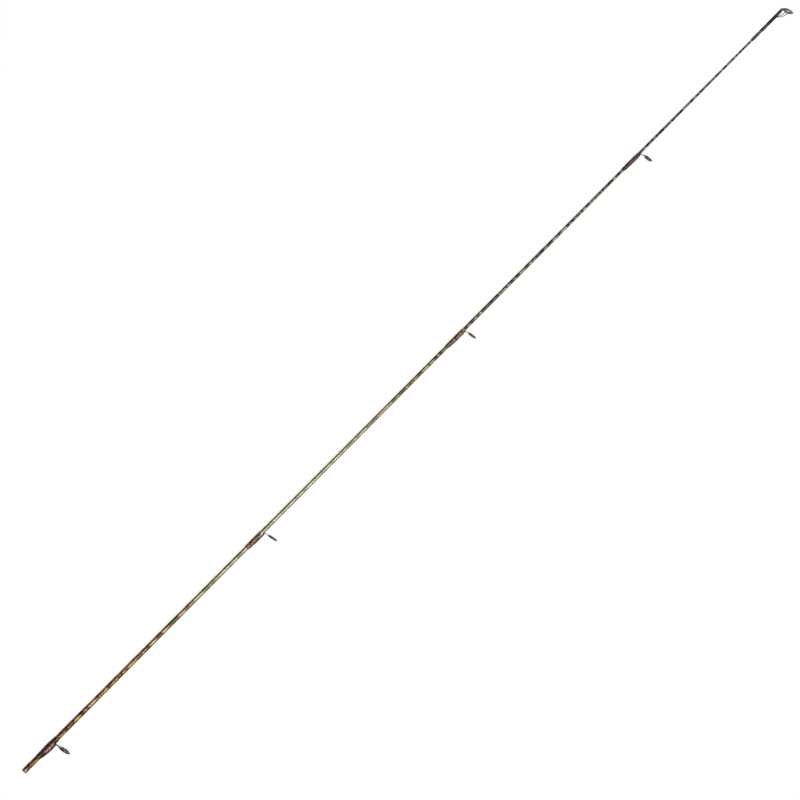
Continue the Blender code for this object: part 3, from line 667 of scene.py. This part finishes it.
def epoxy_finish():
    """Clear, faintly amber wrap finish, which lets lamplight through to the thread."""
    look = Finish("clear_wrap_epoxy", Transmission_Weight=1.0, IOR=EPOXY_INDEX,
                  Specular_Tint=EPOXY_SHINE)
    cloud = look.noise(look.stretched(1.0, 1.0, 0.6), scale=0.5)
    look.use("Base Color", look.ramp(cloud, (0.3, EPOXY_THIN), (0.7, EPOXY_THICK)))
    look.use("Roughness", look.ramp(cloud, (0.3, 0.12), (0.7, 0.18)))
    rays = look.node("ShaderNodeLightPath")
    bounced = look.sums("MAXIMUM", rays.outputs["Is Diffuse Ray"], rays.outputs["Is Glossy Ray"])
    plain = look.sums("MAXIMUM", rays.outputs["Is Shadow Ray"], bounced)
    clear = look.node("ShaderNodeBsdfTransparent")
    clear.inputs["Color"].default_value = EPOXY_LIGHT
    either = look.node("ShaderNodeMixShader")
    output = look.tree.nodes["Material Output"]
    look.link(plain, either.inputs["Fac"])
    look.link(look.shader.outputs["BSDF"], either.inputs[1])
    look.link(clear.outputs["BSDF"], either.inputs[2])
    look.link(either.outputs["Shader"], output.inputs["Surface"])
    return look.material


EDGE_SHARPNESS = ((0.62, 0.0), (0.78, 1.0))
EDGE_WEAR = 0.5
WORN_METAL = srgb(150, 148, 144)
# Paler plating painted as a reflection on the tip-top's tongue, and the largest share of it
PAINTED_GLEAM_METAL = srgb(136, 134, 130)
PAINTED_GLEAM_SHARE = 0.7
DULLER = 0.08
GLOSSIER = 0.06
METAL_RELIEF = 0.004 * MM


def metal_finish(name, low, high, roughness, painted_gleam=None):
    """Plated metal: brushed grain, faint clouds and lighter, worn edges.

    The plating is painted paler between the two heights along the rod given in the last argument: a
    painted reflection that grows towards the second height.
    """
    look = Finish(name, Metallic=1.0)
    cloud = look.noise(look.spot, scale=0.6, detail=3.0, roughness=0.6)
    grain = look.noise(look.stretched(3.0, 0.6, 0.6), scale=2.2, detail=3.0, roughness=0.7)
    shape = look.node("ShaderNodeNewGeometry")
    edge = look.ramp(shape.outputs["Pointiness"], *EDGE_SHARPNESS)
    plated = look.ramp(cloud, (0.3, low), (0.7, high))
    if painted_gleam:
        start, end = (height / MM for height in painted_gleam)
        share = look.sums("DIVIDE", look.sums("SUBTRACT", look.z, start), end - start)
        # Painted reflection: the plating is mixed towards a paler colour, more so towards the second
        # height.
        plated = look.mix(look.ramp(share, (0.0, 0.0), (1.0, PAINTED_GLEAM_SHARE)), plated, PAINTED_GLEAM_METAL)
    look.use("Base Color", look.mix(look.sums("MULTIPLY", edge, EDGE_WEAR), plated, WORN_METAL))
    tone = look.blend(grain, cloud, 0.5)
    look.use("Roughness", look.ramp(tone, (0.3, roughness + DULLER), (0.7, roughness - GLOSSIER)))
    look.use("Normal", look.bump(grain, METAL_RELIEF))
    return look.material


CERAMIC_RELIEF = 0.002 * MM


def ceramic_finish():
    """Polished dark ceramic with a faint crystalline speckle."""
    look = Finish("polished_dark_ceramic", Coat_Weight=0.2, Coat_Roughness=0.03)
    speckle = look.noise(look.spot, scale=3.5, detail=4.0, roughness=0.7)
    look.use("Base Color", look.ramp(speckle, (0.35, srgb(70, 70, 71)), (0.7, srgb(98, 98, 99))))
    look.use("Roughness", look.ramp(speckle, (0.3, 0.14), (0.7, 0.24)))
    look.use("Normal", look.bump(speckle, CERAMIC_RELIEF))
    return look.material


GLUE_RELIEF = 0.03 * MM


def glue_finish():
    """Hard amber glue with small lumps."""
    look = Finish("amber_glue", Subsurface_Weight=0.2)
    lumps = look.noise(look.spot, scale=1.4, detail=3.0)
    look.use("Base Color", look.ramp(lumps, (0.3, srgb(150, 96, 44)), (0.7, srgb(190, 140, 82))))
    look.use("Roughness", look.ramp(lumps, (0.3, 0.3), (0.7, 0.5)))
    look.use("Normal", look.bump(lumps, GLUE_RELIEF))
    return look.material


# Blank


def make_blank(material):
    outside = [(blank_radius(END_ROUNDING) - END_ROUNDING / 2, 0.0),
               (blank_radius(0.0) - END_BEVEL, END_ROUNDING / 2)]
    outside += [(blank_radius(z), z) for z in spaced(END_ROUNDING, BLANK_LENGTH, BLANK_STEP)]
    socket = SOCKET_DIAMETER / 2
    inside = [(socket + END_ROUNDING, 0.0), (socket, END_ROUNDING), (socket, SOCKET_DEPTH)]
    bore = spaced(SOCKET_DEPTH + LAYER_GAP, BLANK_LENGTH, BORE_STEP)
    inside += [(blank_radius(z) - BLANK_WALL, z) for z in bore]
    form = bmesh.new()
    add_turned(form, outside + inside[::-1], BLANK_SIDES)
    dress("blank", finish_mesh(form, "blank"), material, "blank", "blank_ferrule", "blank_shaft")


# Wraps


def tight_radius(angle, round_blank, crown, rise):
    """Distance from the axis to a band pulled tight round the blank and the foot's crown."""
    angle = abs(angle)
    if rise + crown <= round_blank:
        return round_blank
    leave = math.acos((round_blank - crown) / rise)
    touch = math.atan2(crown * math.sin(leave), rise + crown * math.cos(leave))
    if angle >= leave:
        return round_blank
    if angle > touch:
        return round_blank / math.cos(leave - angle)
    return crown_radius(angle, crown, rise)


def crown_radius(angle, crown, rise):
    return rise * math.cos(angle) + math.sqrt(crown ** 2 - (rise * math.sin(angle)) ** 2)


def crown_circle(guide, z):
    """Radius and rise of the circle that the foot's top follows at station z."""
    thickness, half_width = guide.foot_size(z)
    crown = FOOT_CROWN * half_width
    return crown, blank_radius(z) + LAYER_GAP + thickness - crown


def wrap_angle(k):
    return 2 * math.pi * k / WRAP_SIDES


def signed(angle):
    return (angle + math.pi) % (2 * math.pi) - math.pi


def foot_cover(guide, z):
    """How far a wrap climbs the foot at station z: 0 on the bare blank, 1 over the foot."""
    ramp = guide.toe - THREAD_RAMP
    rise = follow(z, (ramp, guide.toe - TOE_CLEARANCE), (0.0, 1.0))
    fall = follow(z, (guide.bend_start, guide.neck_front + NECK_CLEARANCE), (1.0, 0.0))
    return min(rise, fall)


def wrap_ring(guide, z, lift):
    """A ring of points round blank and foot; lift(angle) is the distance off them."""
    crown, rise = crown_circle(guide, z)
    cover = foot_cover(guide, z)
    ring = []
    for k in range(WRAP_SIDES):
        angle = wrap_angle(k)
        offset = lift(angle)
        bare = blank_radius(z) + offset
        over = tight_radius(signed(angle), bare, crown + offset, rise)
        radius = bare + (over - bare) * cover
        ring.append(Vector((radius * math.cos(angle), radius * math.sin(angle), z)))
    return ring


def turn_height(z, angle):
    """The outside of the thread's turns: round backs with sharp valleys between them."""
    phase = math.pi * (z / THREAD_PITCH + angle / (2 * math.pi))
    return LAYER_GAP + THREAD_THICKNESS - THREAD_VALLEY * (1.0 - abs(math.cos(phase)))


def thread_span(guide):
    start = guide.toe - THREAD_LEAD
    if guide.locking_wrap > 0.0:
        return start, guide.neck_front + guide.locking_wrap
    return start, guide.bend_start - LAYER_GAP - guide.bare_foot


def epoxy_span(guide):
    start, end = thread_span(guide)
    if guide.locking_wrap > 0.0:
        return start - EPOXY_OVERLAP, end + EPOXY_OVERLAP
    return start - EPOXY_OVERLAP, guide.bend_start - LAYER_GAP


def thread_mesh(guide, name):
    start, end = thread_span(guide)
    step = THREAD_PITCH / RINGS_PER_TURN
    outer = [wrap_ring(guide, z, lambda angle, z=z: turn_height(z, angle))
             for z in spaced(start, end, step)]
    inner = [wrap_ring(guide, z, lambda angle: LAYER_GAP)
             for z in spaced(start, end, THREAD_PITCH)]
    return sleeve(outer, inner, name)


def epoxy_depth(guide, z, span):
    """Epoxy over the thread: thin at both ends, deepest a little past the middle."""
    along = (z - span[0]) / (span[1] - span[0])
    swell = math.sin(math.pi * min(max(along, 0.0), 1.0) ** EPOXY_SKEW)
    return EPOXY_EDGE + (guide.epoxy - EPOXY_EDGE) * max(swell, 0.0) ** guide.hump


def ripple(z, angle):
    """Slow unevenness of a coat that levelled while it turned."""
    slow = math.sin(z / RIPPLE_WAVE) * math.cos(angle + z / RIPPLE_TWIST)
    quick = math.sin(2 * angle + z / RIPPLE_SHORT_WAVE)
    return 1.0 + RIPPLE_DEPTH * (slow + RIPPLE_SHARE * quick)


def epoxy_mesh(guide, name):
    span = epoxy_span(guide)
    thread = thread_span(guide)
    over_thread = 2 * LAYER_GAP + THREAD_THICKNESS

    def top(z):
        meniscus = min(z - span[0], span[1] - z) / EPOXY_OVERLAP
        share = math.sqrt(min(max(meniscus, 0.0), 1.0))
        if z > thread[1] and guide.locking_wrap == 0.0 and guide.bare_foot == 0.0:
            share = 1.0
        depth = epoxy_depth(guide, z, span)
        return lambda angle: LAYER_GAP + (over_thread - LAYER_GAP + depth * ripple(z, angle)) * share

    stations = spaced(span[0], span[1], EPOXY_STEP)
    outer = [wrap_ring(guide, z, top(z)) for z in stations]
    sparse = stations[::EPOXY_INNER_STRIDE] + [stations[-1]]
    inner = [wrap_ring(guide, z, lambda angle: -EPOXY_SINK) for z in sparse]
    return sleeve(outer, inner, name)


# Guides


def foot_ring(guide, z):
    """Section of the foot: saddled under, crowned on top, with rounded sides."""
    half_foot = math.asin(guide.foot_size(z)[1] / (blank_radius(z) + LAYER_GAP))
    crown, rise = crown_circle(guide, z)
    angles = [half_foot * k / PLATE_STEPS for k in range(-PLATE_STEPS, PLATE_STEPS + 1)]
    under = [(angle, blank_radius(z) + LAYER_GAP) for angle in angles]
    top = [(angle, crown_radius(angle, crown, rise)) for angle in angles[::-1]]
    return [Vector((radius * math.cos(angle), radius * math.sin(angle), z))
            for angle, radius in under + top]


def plate_ring(centre, turned, half_width, thickness):
    """Section of the bent strip: a flat plate with thinned edges, square to its path."""
    normal = Vector((math.cos(turned), 0.0, -math.sin(turned)))
    across = Vector((0.0, 1.0, 0.0))
    front = []
    back = []
    for k in range(-PLATE_STEPS, PLATE_STEPS + 1):
        share = k / PLATE_STEPS
        half = thickness / 2 * (1.0 - EDGE_THINNING * share ** EDGE_POWER)
        front.append(centre + across * half_width * share - normal * half)
        back.append(centre + across * half_width * share + normal * half)
    return front + back[::-1]


def neck_centre(guide, below):
    """A point on the neck's middle line, a given distance below the ring's centre."""
    lean = math.radians(guide.lean)
    return Vector((guide.height - below * math.cos(lean), 0.0,
                   guide.station - below * math.sin(lean)))


def strip_rings(guide):
    """Sections of foot, bend and neck, from the toe up into the hoop."""
    rings = [foot_ring(guide, z) for z in
             spaced(guide.toe, guide.bend_start, guide.foot_length / FOOT_STEPS)]
    thickness = NECK_THINNING * guide.plate
    for k in range(1, BEND_STEPS + 1):
        share = k / BEND_STEPS
        turned = guide.bend_angle * share
        out = guide.bend_radius * (1.0 - math.cos(turned))
        ahead = guide.bend_radius * math.sin(turned)
        centre = Vector((guide.foot_plane + out, 0.0, guide.bend_start + ahead))
        half_width = guide.foot_half_width + (guide.neck_half_width - guide.foot_half_width) * share
        rings.append(plate_ring(centre, turned, half_width, thickness))
    hoop = guide.hoop_radius
    rim = hoop - guide.seat_radius
    bend_top = guide.foot_plane + guide.bend_radius * (1.0 - math.cos(guide.bend_angle))
    bend_end = (guide.height - bend_top) / math.cos(math.radians(guide.lean))
    root = hoop - NECK_ROOT[0] * rim
    root_half = NECK_ROOT[1] * math.sqrt(hoop ** 2 - root ** 2)
    for k in range(1, NECK_STEPS + 1):
        share = k / NECK_STEPS
        below = bend_end + (root - bend_end) * share
        flare = share ** NECK_FLARE_POWER
        half_width = guide.neck_half_width + (root_half - guide.neck_half_width) * flare
        rings.append(plate_ring(neck_centre(guide, below), guide.bend_angle, half_width, thickness))
    inside = hoop - NECK_END[0] * rim
    half_width = NECK_END[1] * math.sqrt(hoop ** 2 - inside ** 2)
    rings.append(plate_ring(neck_centre(guide, inside), guide.bend_angle, half_width, thickness))
    return rings


def hoop_profile(hoop, seat, plate):
    """Section of a hoop: a plate with a rolled collar that holds the insert."""
    half = plate / 2
    collar = half + COLLAR_PROUD
    side = [(seat, collar), (seat + COLLAR_WIDTH, collar),
            (seat + COLLAR_WIDTH + COLLAR_PROUD, half), (hoop - RIM_ROUNDING, half),
            (hoop, half - RIM_ROUNDING)]
    return rounded(side + [(radius, -z) for radius, z in side[::-1]], HOOP_CORNER)


def insert_profile(outer, bore, length):
    """Section of a ring insert: square outside, rounded through the bore."""
    half = length / 2
    root = outer - INSERT_ROOT
    outside = rounded([(root, half), (outer, half), (outer, -half), (root, -half)],
                      INSERT_CHAMFER)
    kept = [point for point in outside if point[0] > root + INSERT_MARGIN]
    arc = []
    for k in range(INSERT_ARC_STEPS + 1):
        angle = math.pi * (k / INSERT_ARC_STEPS - 0.5)
        arc.append((root - (root - bore) * math.cos(angle), half * math.sin(angle)))
    return kept + arc


def make_ring(name, seat, bore, length, place, material):
    form = bmesh.new()
    add_turned(form, insert_profile(seat / 2 - SEAT_GAP, bore / 2, length), RING_STEPS, place)
    dress(name + "_insert", finish_mesh(form, name), material, "ring_insert", name + "_ring")


def make_guide(guide, looks):
    name = guide.name + "_guide"
    place = ring_place_matrix(guide.height, guide.station, guide.lean)
    form = bmesh.new()
    add_loft(form, strip_rings(guide))
    profile = hoop_profile(guide.hoop_radius, guide.seat_radius, guide.plate)
    add_turned(form, profile, RING_STEPS, place)
    dress(name + "_metal", remeshed(form, name), looks["frame"], "guide_frame", name + "_frame")
    make_ring(name, guide.seat_diameter, guide.bore_diameter, guide.insert_length, place,
              looks["ring"])
    dress(name + "_thread", thread_mesh(guide, name + "_thread"), looks["thread"],
          "guide_thread", name + "_thread_wrap")
    dress(name + "_epoxy", epoxy_mesh(guide, name + "_epoxy"), looks["epoxy"], "epoxy",
          name + "_epoxy_coat")


# Tip-top


def tongue_ring(z, centre, back, front, half_width):
    """Section of the tongue: rounded towards the back, flatter towards the ring."""
    ring = []
    for k in range(TONGUE_SIDES):
        angle = 2 * math.pi * k / TONGUE_SIDES
        depth = front if math.cos(angle) > 0.0 else back
        ring.append(Vector((centre + depth * math.cos(angle), half_width * math.sin(angle), z)))
    return ring


def tongue_rings():
    """Plug in the tube, boss against its end, and the tongue that spreads into the hoop."""
    plug = TUBE_BORE / 2 - SEAT_GAP
    boss = TUBE_DIAMETER / 2
    lean = math.radians(TIP_LEAN)
    start = TUBE_END + LAYER_GAP
    hoop = TIP_HOOP_DIAMETER / 2
    rim = hoop - TIP_SEAT_DIAMETER / 2
    low_x = TIP_RING_HEIGHT - hoop * math.cos(lean)
    low_z = TIP_STATION - hoop * math.sin(lean)
    rings = [tongue_ring(TUBE_END - PLUG_LENGTH, 0.0, plug, plug, plug),
             tongue_ring(start, 0.0, plug, plug, plug),
             tongue_ring(start, 0.0, boss, boss, boss)]
    reach = low_z - start
    half_end = TONGUE_WIDTH / 2
    flat = TONGUE_FLAT * boss
    for share, wide in TONGUE_SPREAD:
        half_width = boss + (half_end - boss) * wide
        rings.append(tongue_ring(start + share * reach, 0.0, boss, flat, half_width))
    rings.append(tongue_ring(low_z - TONGUE_SETBACK, low_x, boss + low_x, TONGUE_LIP_FLAT * flat,
                             half_end))
    root_x = low_x + TONGUE_ROOT * rim * math.cos(lean)
    root_z = low_z + TONGUE_ROOT * rim * math.sin(lean)
    rings.append(tongue_ring(root_z, root_x, TONGUE_ROOT_BACK * boss, TONGUE_ROOT_FRONT * boss,
                             TONGUE_ROOT_WIDTH * half_end))
    return rings


def leg_points(side):
    """Middle line of one side leg, from the boss out to the widest part of the hoop."""
    radius = LEG_DIAMETER / 2
    reach = TIP_HOOP_DIAMETER / 2 - radius
    start = Vector((TUBE_DIAMETER / 2 - radius, side * LEG_ROOT_SPREAD, TUBE_END + LEG_ROOT))
    end = Vector((TIP_RING_HEIGHT, side * reach, TIP_STATION - LEG_SETBACK))
    bow = Vector((LEG_BOW * (end.x - start.x), 0.0, 0.0))
    return [start.lerp(end, k / LEG_STEPS) + bow * math.sin(math.pi * k / LEG_STEPS)
            for k in range(LEG_STEPS + 1)]


def add_wire(form, points, radius):
    """A round wire along a line of points."""
    rings = []
    for k, point in enumerate(points):
        along = points[min(k + 1, len(points) - 1)] - points[max(k - 1, 0)]
        turn = along.to_track_quat("Z", "Y").to_matrix()
        rings.append([point + turn @ Vector((radius * math.cos(2 * math.pi * m / LEG_SIDES),
                                             radius * math.sin(2 * math.pi * m / LEG_SIDES), 0.0))
                      for m in range(LEG_SIDES)])
    add_loft(form, rings)


def make_tip_top(looks):
    place = ring_place_matrix(TIP_RING_HEIGHT, TIP_STATION, TIP_LEAN)
    form = bmesh.new()
    add_loft(form, tongue_rings())
    profile = hoop_profile(TIP_HOOP_DIAMETER / 2, TIP_SEAT_DIAMETER / 2, TIP_PLATE)
    add_turned(form, profile, RING_STEPS, place)
    for side in (1, -1):
        add_wire(form, leg_points(side), LEG_DIAMETER / 2)
    dress("tip_top_metal", remeshed(form, "tip_top"), looks["tip"], "guide_frame",
          "tip_top_frame")
    make_ring("tip_top", TIP_SEAT_DIAMETER, TIP_BORE_DIAMETER, TIP_INSERT_LENGTH, place,
              looks["ring"])

    outer = TUBE_DIAMETER / 2
    bore = TUBE_BORE / 2
    rear = TUBE_END - TUBE_LENGTH
    profile = rounded([(outer, TUBE_END), (outer, rear), (bore, rear), (bore, TUBE_END)], TUBE_LIP)
    form = bmesh.new()
    add_turned(form, profile, BLANK_SIDES)
    dress("tip_top_sleeve", finish_mesh(form, "tip_top_sleeve"), looks["tube"], "tip_tube",
          "tip_top_tube")

    outer = TUBE_BORE / 2 - LAYER_GAP
    inner = BLANK_DIAMETERS[-1] / 2 + LAYER_GAP
    floor = BLANK_LENGTH + LAYER_GAP
    glue = [(outer, floor + GLUE_CAP), (outer, rear + GLUE_RECESS), (inner, rear - GLUE_FILLET),
            (inner, floor)]
    form = bmesh.new()
    add_loft(form, turned_rings(glue, BLANK_SIDES))
    dress("tip_top_adhesive", finish_mesh(form, "tip_top_adhesive"), looks["glue"], "glue",
          "tip_top_glue")


# Trim


def trim_spans():
    """Start and end of each trim wrap, rear one first."""
    front_end = TUBE_END - TUBE_LENGTH - TRIM_TUBE_GAP
    front_start = front_end - FRONT_TRIM_LENGTH
    rear_end = front_start - TRIM_SPACE
    return (rear_end - REAR_TRIM_LENGTH, rear_end), (front_start, front_end)


def band_ring(z, lift):
    ring = []
    for k in range(WRAP_SIDES):
        angle = wrap_angle(k)
        radius = blank_radius(z) + lift(angle)
        ring.append(Vector((radius * math.cos(angle), radius * math.sin(angle), z)))
    return ring


def make_trim(looks):
    rear, front = trim_spans()
    step = THREAD_PITCH / RINGS_PER_TURN
    for side, (start, end) in (("rear", rear), ("front", front)):
        outer = [band_ring(z, lambda angle, z=z: turn_height(z, angle))
                 for z in spaced(start, end, step)]
        inner = [band_ring(z, lambda angle: LAYER_GAP) for z in (start, end)]
        name = side + "_trim_thread"
        dress(name, sleeve(outer, inner, name), looks[side + "_trim"], "trim_thread",
              side + "_trim_thread_wrap")

    first = rear[0] - EPOXY_OVERLAP
    last = front[1] + TRIM_TUBE_GAP - 2 * LAYER_GAP
    over = 2 * LAYER_GAP + THREAD_THICKNESS

    def top(z):
        swell = EPOXY_EDGE
        for (start, end), depth in ((rear, REAR_TRIM_EPOXY), (front, FRONT_TRIM_EPOXY)):
            along = min(max((z - start) / (end - start), 0.0), 1.0)
            swell += (depth - EPOXY_EDGE) * (1.0 - abs(2.0 * along - 1.0) ** TRIM_SWELL_POWER)
        share = math.sqrt(min((z - first) / EPOXY_OVERLAP, 1.0))
        return lambda angle: LAYER_GAP + (over - LAYER_GAP + swell * ripple(z, angle)) * share

    stations = spaced(first, last, EPOXY_STEP)
    outer = [band_ring(z, top(z)) for z in stations]
    inner = [band_ring(z, lambda angle: -EPOXY_SINK) for z in (first, last)]
    dress("trim_epoxy", sleeve(outer, inner, "trim_epoxy"), looks["epoxy"], "epoxy",
          "trim_epoxy_coat")


# Stage


def make_floor():
    """A round floor with a low wall, white to the camera, which keeps the rod's shadow."""
    form = bmesh.new()
    outline = [(FLOOR_RADIUS, 0.0), (FLOOR_RADIUS, WALL_HEIGHT)]
    low, high = add_rings(form, turned_rings(outline, WALL_SIDES))
    form.faces.new(low)
    for k in range(WALL_SIDES):
        form.faces.new((low[k], high[k], high[k - 1], low[k - 1]))
    mesh = bpy.data.meshes.new("floor")
    form.to_mesh(mesh)
    form.free()
    floor = bpy.data.objects.new("floor", mesh)
    bpy.context.scene.collection.objects.link(floor)
    material = bpy.data.materials.new("floor")
    material.use_nodes = True
    nodes = material.node_tree.nodes
    links = material.node_tree.links
    shader = nodes["Principled BSDF"]
    shader.inputs["Base Color"].default_value = FLOOR_COLOUR
    shader.inputs["Roughness"].default_value = FLOOR_ROUGHNESS
    shader.inputs["Specular IOR Level"].default_value = 0.0
    rays = nodes.new("ShaderNodeLightPath")
    seen = nodes.new("ShaderNodeMath")
    seen.operation = "MAXIMUM"
    links.new(rays.outputs["Is Camera Ray"], seen.inputs[0])
    both = nodes.new("ShaderNodeMath")
    both.operation = "MAXIMUM"
    links.new(rays.outputs["Is Glossy Ray"], both.inputs[0])
    links.new(rays.outputs["Is Transmission Ray"], both.inputs[1])
    links.new(both.outputs["Value"], seen.inputs[1])
    glow = nodes.new("ShaderNodeMath")
    glow.operation = "MULTIPLY"
    glow.inputs[1].default_value = FLOOR_GLOW
    links.new(seen.outputs["Value"], glow.inputs[0])
    shader.inputs["Emission Color"].default_value = WHITE
    links.new(glow.outputs["Value"], shader.inputs["Emission Strength"])
    floor.data.materials.append(material)


def make_world():
    """Faint even light from all round, as in a large studio."""
    world = bpy.data.worlds.new("studio")
    bpy.context.scene.world = world
    world.use_nodes = True
    background = world.node_tree.nodes["Background"]
    background.inputs["Color"].default_value = WHITE
    background.inputs["Strength"].default_value = WORLD_LEVEL


def make_lamp():
    """A rectangular softbox over the rod, aimed at its middle, its long side along X."""
    lamp = bpy.data.lights.new("overhead", "AREA")
    lamp.shape = "RECTANGLE"
    lamp.size, lamp.size_y = LAMP_SIZE
    lamp.energy = LAMP_POWER
    holder = bpy.data.objects.new("overhead", lamp)
    bpy.context.scene.collection.objects.link(holder)
    away = LAMP_PLACE.normalized()
    side = (Vector((1.0, 0.0, 0.0)) - away * away.x).normalized()
    turned = Matrix((side, away.cross(side), away)).transposed().to_4x4()
    holder.matrix_world = Matrix.Translation(LAMP_PLACE) @ turned


def make_camera():
    """Straight above the rod, turned so that it lies from lower left to upper right."""
    camera = bpy.data.cameras.new("camera")
    camera.sensor_width = SENSOR_WIDTH
    camera.lens = SENSOR_WIDTH * CAMERA_HEIGHT / VIEW_WIDTH
    camera.clip_end = CAMERA_REACH
    holder = bpy.data.objects.new("camera", camera)
    bpy.context.scene.collection.objects.link(holder)
    right = ROD_SLANT.normalized()
    back = Vector((0.0, 0.0, 1.0))
    turned = Matrix((right, back.cross(right), back)).transposed().to_4x4()
    holder.matrix_world = Matrix.Translation(CAMERA_AIM + back * CAMERA_HEIGHT) @ turned
    bpy.context.scene.camera = holder


looks = {
    "frame": metal_finish("gunmetal", srgb(70, 67, 67), srgb(96, 93, 92), roughness=0.3),
    # The tip-top's plating is painted paler near its hoop, as a reflection.
    "tip": metal_finish("dark_gunmetal", srgb(46, 46, 43), srgb(64, 64, 61), roughness=0.28,
                        painted_gleam=(TUBE_END + PAINTED_GLEAM_FROM, TUBE_END + PAINTED_GLEAM_TO)),
    "tube": metal_finish("black_chrome", srgb(36, 36, 40), srgb(52, 52, 57), roughness=0.22),
    "ring": ceramic_finish(),
    # The paler thread colours, different for each wrap and trim, are partly the thread's own tone
    # and partly painted sheen.
    "thread": thread_finish("brown_thread", srgb(54, 40, 31), (0.04, srgb(104, 78, 62)),
                            (0.3, srgb(170, 149, 133)), (0.58, srgb(170, 149, 133)),
                            (0.81, srgb(132, 108, 97))),
    "rear_trim": thread_finish("russet_thread", srgb(64, 38, 25), (1.0, srgb(116, 86, 64))),
    "front_trim": thread_finish("olive_thread", srgb(62, 48, 27), (1.0, srgb(106, 87, 56))),
    "epoxy": epoxy_finish(),
    "glue": glue_finish(),
}

make_camera()
make_floor()
make_world()
make_lamp()

make_blank(blank_finish())
for guide in GUIDES:
    make_guide(guide, looks)
make_tip_top(looks)
make_trim(looks)

bpy.context.scene.view_settings.view_transform = "Standard"
bpy.context.view_layer.update()
